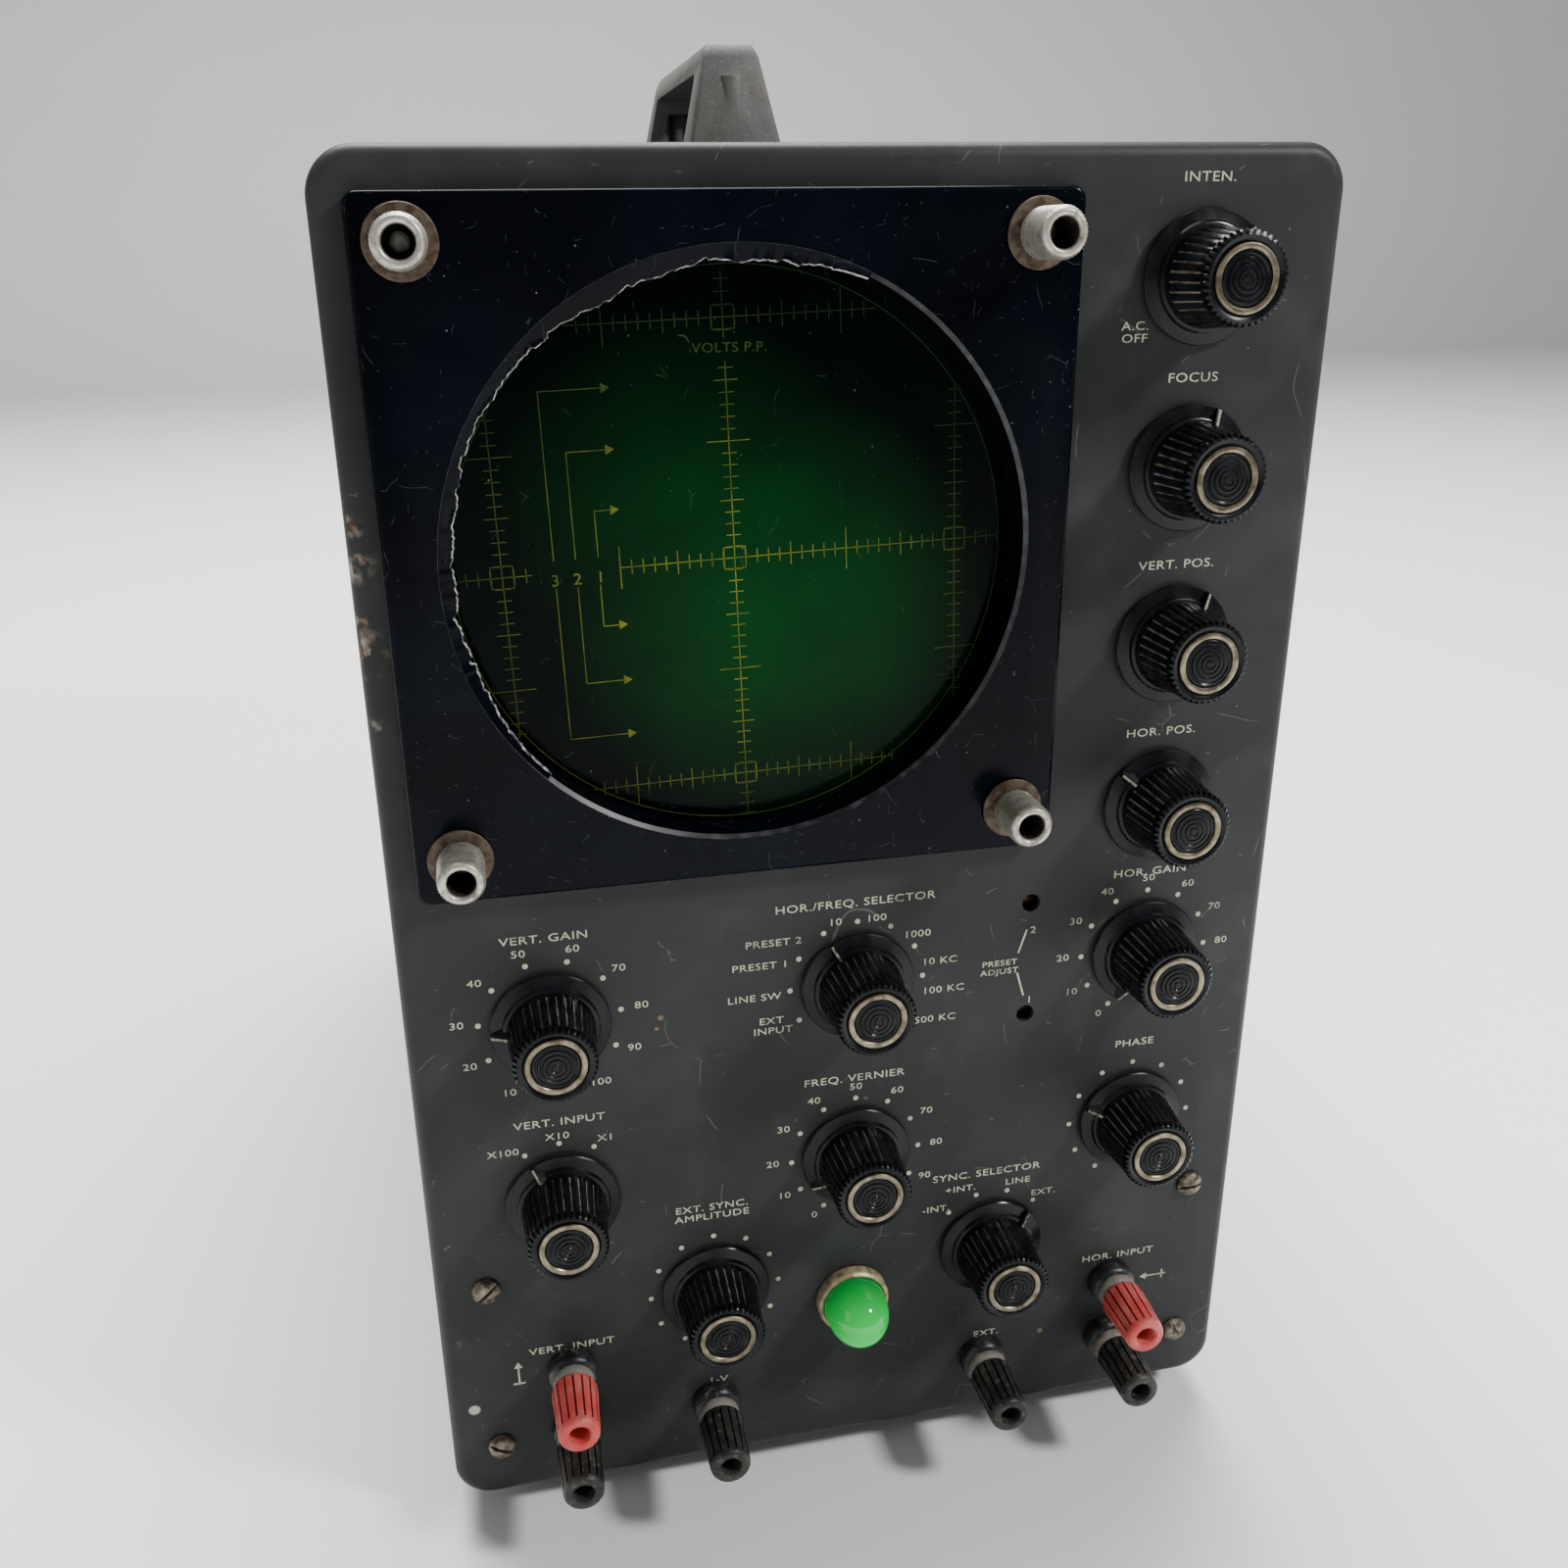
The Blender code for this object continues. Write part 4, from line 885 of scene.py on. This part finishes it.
def in_flute(face):
    """Whether a face is one of the narrow flutes: one column in four of the barrel."""
    middle = face.calc_center_median()
    column = math.floor(math.atan2(middle.z, middle.x) / step + 1e-6)
    on_barrel = -0.0150 < middle.y < -0.0060 and math.hypot(middle.x, middle.z) > 0.009
    return on_barrel and column % 4 == 0


choose("FACE", in_flute)
bpy.ops.mesh.extrude_region_shrink_fatten(TRANSFORM_OT_shrink_fatten={"value": -0.00040})
second_surface(pattern)


def on_rib(vert):
    """Whether a corner stands in the middle of a rib, which is rounded outward."""
    column = round(math.atan2(vert.co.z, vert.co.x) / step)
    reach = math.hypot(vert.co.x, vert.co.z)
    return -0.0166 < vert.co.y < -0.0043 and reach > 0.0092 and column % 4 in (2, 3)


choose("VERT", on_rib)
bpy.ops.transform.resize(value=(1.022, 1.0, 1.022), center_override=origin)


def in_scallop(vert):
    """Whether a corner is a hollow of the rim's scallops: every third one."""
    column = round(math.atan2(vert.co.z, vert.co.x) / step)
    return -0.01905 < vert.co.y < -0.0170 and math.hypot(vert.co.x, vert.co.z) > 0.0091 and column % 3 == 0


choose("VERT", in_scallop)
bpy.ops.transform.resize(value=(0.94, 1.0, 0.94), center_override=origin)
bpy.ops.object.mode_set(mode="OBJECT")

# The pointer: a wedge from the barrel out to the skirt's edge, with a narrow flat on top.
wedge = block(Vector((-0.0052, -0.0064, 0.0070)), Vector((0.0052, -0.0015, 0.0142)))
choose("VERT", lambda vert: vert.co.z > 0.0141)
bpy.ops.transform.resize(value=(0.11, 1.0, 1.0), center_override=(0, 0, 0))
choose("VERT", lambda vert: vert.co.y < -0.0063 and vert.co.z > 0.0141)
bpy.ops.transform.translate(value=(0, 0.0036, 0))
choose("VERT", lambda vert: vert.co.y < -0.0063 and vert.co.z < 0.0071)
bpy.ops.transform.resize(value=(0.09, 1.0, 1.0), center_override=(0, 0, 0))
carve(pattern, wedge, "UNION")
knob_pattern = bpy.context.object

ring_outline = [(5.75, -18.35), (5.75, -18.95), (5.95, -19.2), (6.3, -19.3), (6.7, -19.3)]
ring_outline += [(7.05, -19.2), (7.2, -18.95), (7.2, -18.35)]
ring_pattern = turned(ring_outline, origin, 96)
bpy.ops.object.mode_set(mode="OBJECT")
line_pattern = block(Vector((-0.0003, -0.0049, 0.0104)), Vector((0.0003, -0.0040, 0.0141)))
choose("VERT", lambda vert: vert.co.z > 0.0140)
bpy.ops.transform.translate(value=(0, 0.0019, 0))
bpy.ops.object.mode_set(mode="OBJECT")

turns = {
    "intensity": 45, "focus": 24, "vertical_position": 33, "horizontal_position": -50,
    "horizontal_gain": -150, "phase": -67, "vertical_gain": -91, "vertical_input": -30,
    "sync_amplitude": -150, "frequency_selector": -30, "frequency_vernier": -120, "sync_selector": 45,
}
for control, turn in turns.items():
    node = "knob_" + control
    placing = Matrix.Translation(pivots[node]) @ Matrix.Rotation(math.radians(turn), 4, "Y")
    for pattern, prefix, surface, slot in (
        (knob_pattern, "moulding_", phenolic, "knob_black"),
        (ring_pattern, "ring_", ring_metal, "nut_nickel"),
        (line_pattern, "line_", cream_paint, "knob_black"),
    ):
        bpy.ops.object.select_all(action="DESELECT")
        pattern.select_set(True)
        bpy.context.view_layer.objects.active = pattern
        bpy.ops.object.duplicate()
        bpy.context.object.data.transform(placing)
        fit(prefix + control, surface, node, [node] if pattern == knob_pattern else [], angle=28)
for pattern in (knob_pattern, ring_pattern, line_pattern):
    bpy.data.objects.remove(pattern, do_unlink=True)


# ---------------------------------------------------------------- binding posts
# Each post is a phenolic collar against the panel, a grey insulating ring and a moulded cap
# with sixteen flutes, which screws down on the stud and takes a plug in its end.
def moulded(name, plain, bloomed, worn, roughness):
    """Moulded plastic: a dull bloom, dirt in patches and rubbed edges, with its colours given."""
    made, tree, shader, place = finish(name, Roughness=roughness, Specular_IOR_Level=0.35)
    bloom = patches(tree, place, 0.0050, 0.40, 0.72, 5.0)
    colour = add(tree, "MixRGB", bloom, linear(plain), linear(bloomed))
    colour = coat(tree, colour, patches(tree, place, 0.0016, 0.56, 0.70, 6.0), 0.6, worn)
    colour = coat(tree, colour, dust(tree, place, 0.0030, 0.00018, 0.4), 0.4, "#8c8880")
    tree.links.new(colour, shader.inputs["Base Color"])
    relief(tree, shader, patches(tree, place, 0.0007, 0.3, 0.7), 0.00003)
    return made


red_cap = moulded("moulded red plastic", "#c44644", "#cf6d66", "#98574f", 0.45)
black_cap = moulded("moulded black plastic", "#1b1c1c", "#3c3a36", "#6e665b", 0.45)
black_collar = moulded("black phenolic collar", "#14171b", "#2c2f33", "#6b6055", 0.34)
grey_ring = moulded("grey insulating ring", "#77716a", "#8d857b", "#5c544b", 0.55)
# Painted shade: darker copies of the caps' colours, with specks of dust, for the hollows of their flutes.
black_flute_shade = moulded("dirt in the flutes of a cap", "#0b0b0a", "#1e1c1a", "#4a443d", 0.7)
red_flute_shade = moulded("dirt in the flutes of a red cap", "#7c2320", "#8d3833", "#5c2c28", 0.6)

CAP_FLUTES = 16
CAP_STEPS = 4 * CAP_FLUTES
cap_outline = [
    (2.4, -8.1), (5.2, -8.1), (5.6, -8.4), (5.82, -8.9), (5.88, -9.6), (5.88, -11.6), (5.8, -12.4),
    (5.3, -22.4), (5.15, -23.3), (4.8, -23.8), (4.4, -24.0), (3.2, -24.0), (2.8, -23.7), (2.6, -23.0),
    (2.4, -15.0),
]
collar_outline = [
    (0, -14.0), (2.1, -14.0), (2.1, -5.0), (4.6, -4.95), (5.3, -4.75), (5.9, -4.3), (6.35, -3.6),
    (6.5, -2.8), (6.5, -0.6), (6.3, -0.3), (3.5, -0.3), (3.5, 3.0), (2.1, 3.0), (2.1, 14.0), (0, 14.0),
]
insulator_outline = [(2.2, -5.0), (5.2, -5.0), (5.4, -5.3), (5.4, -6.4), (5.2, -7.2), (4.7, -7.7)]
insulator_outline += [(4.3, -7.8), (2.2, -7.8)]
step = math.tau / CAP_STEPS
for node, pivot in pivots.items():
    if not node.startswith("post_cap"):
        continue
    red = node.endswith("signal")
    cap = turned(cap_outline, pivot, CAP_STEPS)
    for surface in (red_cap, red_flute_shade) if red else (black_cap, black_flute_shade):
        cap.data.materials.append(surface)

    def in_cap_flute(face):
        """Whether a face is a flute of the cap: one column in four of its tapered side."""
        gap = face.calc_center_median() - pivot
        column = math.floor(math.atan2(gap.z, gap.x) / step + 1e-6)
        return -0.0226 < gap.y < -0.0090 and math.hypot(gap.x, gap.z) > 0.0045 and column % 4 == 0

    # The hollows of the flutes take the painted shade.
    choose("FACE", in_cap_flute)
    bpy.ops.mesh.extrude_region_shrink_fatten(TRANSFORM_OT_shrink_fatten={"value": -0.00055})
    second_surface(cap)
    slot = "post_red" if red else "post_black"
    fit(node.replace("post_cap", "cap"), red_cap, node, [node], angle=32)
    base = node.replace("cap", "base")
    turned(collar_outline, pivot, 48)
    fit(base.replace("post_base", "collar"), black_collar, nodes=[base])
    turned(insulator_outline, pivot, 48)
    fit(base.replace("post_base", "insulator"), grey_ring)


# ---------------------------------------------------------------- pilot lamp
# A turned brass bezel, once plated, now tan and dull, holds a domed jewel of clear green
# plastic with a lamp behind it.
tan_brass = mottled(
    "dull lacquered brass", "#c0b08c", "#84755a", 0.0020, 0.40, 0.66, 5.0, 0.00004,
    Metallic=0.6, Roughness=0.50,
)
lamp_spot = at(LAMP[0], 0, LAMP[1])
bezel_ring = [(8.5, -1.0), (8.5, -3.2), (8.7, -3.55), (9.1, -3.6), (9.5, -3.3), (9.8, -2.6), (9.8, -0.3)]
bezel_ring += [(8.0, -0.3), (8.0, 22.0), (6.9, 22.0), (6.9, -1.0)]
turned(bezel_ring, lamp_spot, 96)
fit("lamp_bezel", tan_brass, nodes=["pilot_lamp_bezel"])

jewel, tree, shader, place = finish(
    "clear green jewel, lit from behind", Roughness=0.06, Specular_IOR_Level=0.5, Emission_Strength=0.60
)
core = near(tree, place, at(-0.8, -12, 46.5), 0.002, 0.0125)
for socket, lit_colour in (("Base Color", "#00a03c"), ("Emission Color", "#00ff60")):
    colour = add(tree, "MixRGB", core, linear("#006a28"), linear(lit_colour))
    tree.links.new(colour, shader.inputs[socket])
dome = [(0, -16.2), (1.3, -16.1), (2.6, -15.8), (3.8, -15.25), (4.9, -14.5), (5.9, -13.5), (6.8, -12.2)]
dome += [(7.5, -10.7), (8.0, -9.0), (8.25, -7.2), (8.35, -5.2), (8.4, -1.3), (6.6, -1.3)]
dome += [(6.6, 6.0), (5.2, 6.0), (5.2, -2.0), (0, -4.0)]
turned(dome, lamp_spot, 96)
fit("lamp_jewel", jewel, nodes=["pilot_lamp_jewel"])


# ---------------------------------------------------------------- panel screws
# Slotted pan-head screws of zinc plated steel, browned by rust and smeared with old paint.
# Each one stopped at its own angle.
old_screw = mottled(
    "browned zinc plated screw", "#8b8577", "#4e4438", 0.0016, 0.38, 0.62, 6.0, 0.00008,
    Metallic=0.8, Roughness=0.48,
)
HEAD_OUTLINE = [(0, 2.25), (1.2, 2.2), (2.3, 1.95), (3.1, 1.5), (3.55, 0.95)]


def slotted_screw(spot, outward, seat, length, steps, turn):
    """A screw whose head looks along the depth by the sign of outward, its slot turned so far."""
    shank = [(3.7, seat), (2.0, seat), (2.0, -length), (0, -length)]
    screw = turned([(r, outward * d) for r, d in HEAD_OUTLINE + shank], spot, steps)
    bpy.ops.object.mode_set(mode="OBJECT")
    bpy.ops.object.select_all(action="DESELECT")
    top = spot + Vector((0, outward * 0.0022, 0))
    bpy.ops.mesh.primitive_cube_add(
        size=1.0, location=top, rotation=(0, turn, 0), scale=(0.0090, 0.0022, 0.0009)
    )
    bpy.ops.object.transform_apply(location=True, rotation=True, scale=True)
    carve(screw, bpy.context.object)


for index, (x, height) in enumerate(screw_places):
    slotted_screw(at(x, 0, height), -1, 0.3, 6.0, 48, 0.5 + 1.9 * index)
    side = "left" if x < 0 else "right"
    level = "lower" if height < 40 else "upper"
    fit(f"screw_{level}_{side}", old_screw, nodes=[f"panel_screw_{level}_{side}"])


# ---------------------------------------------------------------- cabinet
# A wrapped sheet steel case, open at both ends, with rounded corners and stamped slots that
# let the heat out at the sides and the cool air in below.  Same enamel as the panel.
case_enamel, tree, shader, place, colour = enamel(
    "baked satin enamel on the case", "#2d312f", "#353937", 0.52
)
tree.links.new(colour, shader.inputs["Base Color"])


def slot_tool(low, high, axis):
    """A punch for a slot with round ends, which runs through along an axis, 0 to 2."""
    tool = block(low, high)
    choose("EDGE", lambda edge: runs(edge, axis))
    bpy.ops.mesh.bevel(offset=0.00235, segments=5, affect="EDGES")
    bpy.ops.object.mode_set(mode="OBJECT")
    return tool


case = block(at(-HALF_WIDTH, 12.3, 0), at(HALF_WIDTH, 380, HEIGHT))
choose("EDGE", lambda edge: runs(edge, 1))
bpy.ops.mesh.bevel(offset=CORNER, segments=14, affect="EDGES")
choose("FACE", lambda face: abs(face.normal.y) > 0.99)
bpy.ops.mesh.delete(type="FACE")
modify(case, "SOLIDIFY", thickness=0.0012, offset=-1.0, use_even_offset=True)
for i in range(8):
    depth = 235 + 14 * i
    carve(case, slot_tool(at(-120, depth, 215), at(120, depth + 5, 265), 0))
    carve(case, slot_tool(at(-60, depth, -6), at(60, depth + 5, 6), 2))
modify(case, "BEVEL", width=0.0003, segments=1, limit_method="ANGLE", angle_limit=math.radians(50))
fit("case_shell", case_enamel, nodes=["cabinet_shell"])


# ---------------------------------------------------------------- rear cover
# A shallow steel tray set in the back of the case, with two columns of vent slots, held by
# four pan-head screws.  It carries the fuse holder and the rubber grommet for the cord.
COVER_BACK = 379.2
back = block(at(-108, COVER_BACK - 10, 1.5), at(108, COVER_BACK, HEIGHT - 1.5))
choose("EDGE", lambda edge: runs(edge, 1))
bpy.ops.mesh.bevel(offset=0.0085, segments=10, affect="EDGES")
choose("FACE", lambda face: facing(face, 1, -1))
bpy.ops.mesh.delete(type="FACE")
back_y = at(0, COVER_BACK, 0).y
choose("EDGE", lambda edge: lies_at(edge, back_y))
bpy.ops.mesh.bevel(offset=0.0018, segments=4, affect="EDGES")
modify(back, "SOLIDIFY", thickness=0.0015, offset=-1.0, use_even_offset=True)
for i in range(8):
    height = 130 + 20 * i
    for x in (-46, 46):
        carve(back, slot_tool(at(x - 34, 372, height), at(x + 34, 386, height + 5), 1))
rear_screws = [(side * 96, height) for side in (-1, 1) for height in (22, 313)]
CORD, FUSE = (-50, 45), (50, 45)
rear_holes = [(*CORD, 0.0063), (*FUSE, 0.0068)] + [(x, height, 0.0023) for x, height in rear_screws]
carve(back, punches(rear_holes, 370, 390))
fit("back_tray", case_enamel, nodes=["rear_cover"])
for index, (x, height) in enumerate(rear_screws):
    slotted_screw(at(x, 379.5, height), 1, 0, 8.0, 32, 1.1 + 1.3 * index)
    fit(f"back_screw_{index + 1}", old_screw)

rubber = moulded("soft black rubber", "#151515", "#242424", "#3a3835", 0.75)
grommet = [(4.5, 2.2), (4.9, 2.8), (5.6, 3.0), (7.4, 2.9), (8.2, 2.4), (8.5, 1.6), (8.5, 0.3), (6.0, 0.3)]
grommet += [(6.0, -1.8), (8.3, -1.8), (8.5, -2.4), (8.2, -4.2), (7.4, -4.5), (5.2, -4.5), (4.5, -3.8)]
turned(grommet, at(CORD[0], COVER_BACK, CORD[1]), 64)
fit("cord_bushing", rubber, nodes=["cord_grommet"])

# The fuse holder's cap unscrews: a ribbed phenolic drum with a slot for a coin.
fuse_spot = at(FUSE[0], COVER_BACK, FUSE[1])
fuse = [(0, 13.3), (5.8, 13.3), (6.6, 12.9), (7.0, 12.2), (7.0, 4.4), (7.0, 3.0), (7.0, 2.2)]
fuse += [(9.0, 2.2), (9.0, 0.3), (6.5, 0.3), (6.5, -34.2), (0, -34.2)]
fuse_cap = turned(fuse, fuse_spot, 64)
step = math.tau / 64


def in_fuse_rib(face):
    """Whether a face is a hollow between the ribs of the fuse cap."""
    gap = face.calc_center_median() - fuse_spot
    column = math.floor(math.atan2(gap.z, gap.x) / step + 1e-6)
    return 0.0045 < gap.y < 0.0121 and math.hypot(gap.x, gap.z) > 0.0065 and column % 4 == 0


choose("FACE", in_fuse_rib)
bpy.ops.mesh.extrude_region_shrink_fatten(TRANSFORM_OT_shrink_fatten={"value": -0.0005})
bpy.ops.object.mode_set(mode="OBJECT")
slot_low = fuse_spot + Vector((-0.0055, 0.0122, -0.0006))
slot_high = fuse_spot + Vector((0.0055, 0.0150, 0.0006))
carve(fuse_cap, block(slot_low, slot_high))
fit("fuse_cap", black_collar, nodes=["fuse_holder"])


# ---------------------------------------------------------------- carry handle
# A grey painted casting: a tapered grip on two legs.  The legs are hollow on their inner
# side, with a boss down the middle that takes the screw from inside the case.
cast_grey, tree, shader, place = finish("grey painted die casting", Roughness=0.55, Specular_IOR_Level=0.3)
cloud = patches(tree, place, 0.012, 0.36, 0.68, 5.0)
colour = add(tree, "MixRGB", cloud, linear("#5b5d5b"), linear("#676662"))
colour = coat(tree, colour, patches(tree, place, 0.009, 0.56, 0.74, 6.0), 0.55, "#5a4a3a")
colour = coat(tree, colour, patches(tree, place, 0.0012, 0.58, 0.70, 4.0), 0.35, "#8a8882")
colour = coat(tree, colour, dust(tree, place, 0.0040, 0.00025, 0.4), 0.6, "#2e2c28")
tree.links.new(colour, shader.inputs["Base Color"])
grit = add(tree, "TexNoise", Vector=place, Scale=1 / 0.0010, Detail=3.0)
relief(tree, shader, grit, 0.00010)

FOOT_NEAR, FOOT_FAR = 134.0, 248.0
LEG = 17.0
TOP = 370.0
handle = block(at(-15, FOOT_NEAR, HEIGHT + 0.3), at(15, FOOT_FAR, TOP - 3))
middle_spot = at(0, (FOOT_NEAR + FOOT_FAR) / 2, TOP - 3)
choose("FACE", lambda face: facing(face, 2, 1))
bpy.ops.transform.resize(value=(8.0 / 15, 99.1 / 114, 1.0), center_override=middle_spot)
bpy.ops.mesh.extrude_region_move(TRANSFORM_OT_translate={"value": (0, 0, 0.003)})
bpy.ops.transform.resize(value=(6.3 / 8.0, 94.0 / 99.1, 1.0), center_override=middle_spot)
choose("EDGE", lambda edge: max(vert.co.z for vert in edge.verts) > at(0, 0, 336).z)
bpy.ops.mesh.bevel(offset=0.0013, segments=3, affect="EDGES")
bpy.ops.object.mode_set(mode="OBJECT")
gap_tool = block(at(-30, FOOT_NEAR + LEG, 325), at(30, FOOT_FAR - LEG, TOP - 7.5))
choose("EDGE", lambda edge: runs(edge, 0) and edge.verts[0].co.z > at(0, 0, 350).z)
bpy.ops.mesh.bevel(offset=0.003, segments=5, affect="EDGES")
carve(handle, gap_tool)
for near_side, inner in ((True, FOOT_NEAR + LEG), (False, FOOT_FAR - LEG)):
    outward = -1 if near_side else 1
    wall = inner + outward * 8.5
    low, high = sorted((inner - outward * 2, wall))
    pocket = block(at(-8.6, low, 338.3), at(8.6, high, TOP - 12.0))
    choose("VERT", lambda vert: vert.co.z > at(0, 0, 350).z)
    bpy.ops.transform.resize(value=(0.62, 1.0, 1.0), center_override=at(0, low, 350))
    choose("EDGE", lambda edge: not runs(edge, 0) and not runs(edge, 1))
    bpy.ops.mesh.bevel(offset=0.0015, segments=4, affect="EDGES")
    carve(handle, pocket)
    boss_depth = inner + outward * (LEG / 2 + 1)
    boss = [(0, 337.0), (4.2, 337.0), (3.6, TOP - 9), (0, TOP - 9)]
    carve(handle, turned(boss, at(0, boss_depth, 0), 32, axis=(0, 0, 1)), "UNION")
modify(handle, "BEVEL", width=0.0004, segments=2, limit_method="ANGLE", angle_limit=math.radians(40))
fit("handle_casting", cast_grey, nodes=["carry_handle"], angle=30)


# ---------------------------------------------------------------- feet
# Four moulded rubber bumpers, each with a screw sunk in its middle.
foot = [(0, -4.5), (3.8, -4.5), (4.0, -7.4), (4.5, -8.0), (7.4, -8.0), (8.5, -7.6), (9.1, -6.8)]
foot += [(10.4, -0.8), (10.3, -0.3), (0, -0.3)]
pin = [(0, -5.4), (1.6, -5.3), (2.8, -4.9), (3.3, -4.6), (0, -4.6)]
for x, side in ((-85, "left"), (85, "right")):
    for depth, end in ((35, "front"), (345, "rear")):
        turned(foot, at(x, depth, 0), 48, axis=(0, 0, 1))
        fit(f"bumper_{end}_{side}", rubber, nodes=[f"rubber_foot_{end}_{side}"])
        turned(pin, at(x, depth, 0), 32, axis=(0, 0, 1))
        fit(f"bumper_screw_{end}_{side}", old_screw)


# ---------------------------------------------------------------- inside
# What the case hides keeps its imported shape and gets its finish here: the tube with its
# coated glass, the shield and clamp round it, the chassis and all that stands on it.
coated_glass, tree, shader, place = finish(
    "tube glass, coated inside", Roughness=0.06, Specular_IOR_Level=0.5
)
face_y, end_y = (corner.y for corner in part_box("crt_envelope"))
along = add(tree, "SeparateXYZ", add(tree, "NewGeometry")).node.outputs[1]
grain = patches(tree, place, 0.004, 0.3, 0.7, 5.0)
phosphor = add(tree, "MixRGB", grain, linear("#9db7a0"), linear("#aec4ad"))
graphite = add(tree, "MixRGB", grain, linear("#1d1e20"), linear("#2c2d2e"))
clear = add(tree, "MixRGB", grain, linear("#6f7f78"), linear("#86968d"))
to_cone = add(tree, "MapRange", Value=along, From_Min=face_y + 0.012, From_Max=face_y + 0.016)
to_neck = add(tree, "MapRange", Value=along, From_Min=end_y - 0.100, From_Max=end_y - 0.085)
front_half = add(tree, "MixRGB", to_cone, phosphor, graphite)
zones = add(tree, "MixRGB", to_neck, front_half, clear)
tree.links.new(zones, shader.inputs["Base Color"])
for slot in bpy.data.objects["crt_envelope"].material_slots:
    slot.material = coated_glass
for name, nodes, plain, stained, metal, rough, size in (
    ("brown moulded phenolic", "crt_base crt_socket valve_board", "#2c1d16", "#4a3424", 0.0, 0.42, 3.0),
    ("drawn shield metal", "crt_shield", "#8f8d88", "#6c6963", 0.9, 0.40, 9.0),
    ("sponge rubber", "crt_cushion_ring", "#161616", "#2a2826", 0.0, 0.85, 1.5),
    ("zinc plated strap", "crt_neck_clamp", "#a9a79f", "#7a766b", 1.0, 0.38, 4.0),
    ("bright nickel gun parts", "electron_gun", "#bdb7aa", "#8f887b", 1.0, 0.28, 2.0),
    ("cadmium plated chassis", "main_chassis", "#a8a595", "#7d796a", 0.85, 0.42, 18.0),
    ("black lacquered cans", "power_transformer control_bank", "#242528", "#3d3b38", 0.2, 0.45, 5.0),
    ("smoked lamp glass", "pilot_bulb", "#a9aa9c", "#7b7a6c", 0.0, 0.08, 2.0),
    ("turned brass shaft", "preset_adjuster_1 preset_adjuster_2", "#a68c52", "#6b5834", 1.0, 0.36, 1.5),
):
    hidden = mottled(
        name, plain, stained, size / 1000, 0.38, 0.66, 5.0, 0.00003, Metallic=metal, Roughness=rough
    )
    for node in nodes.split():
        for slot in bpy.data.objects[node].material_slots:
            slot.material = hidden


# ---------------------------------------------------------------- closing lines
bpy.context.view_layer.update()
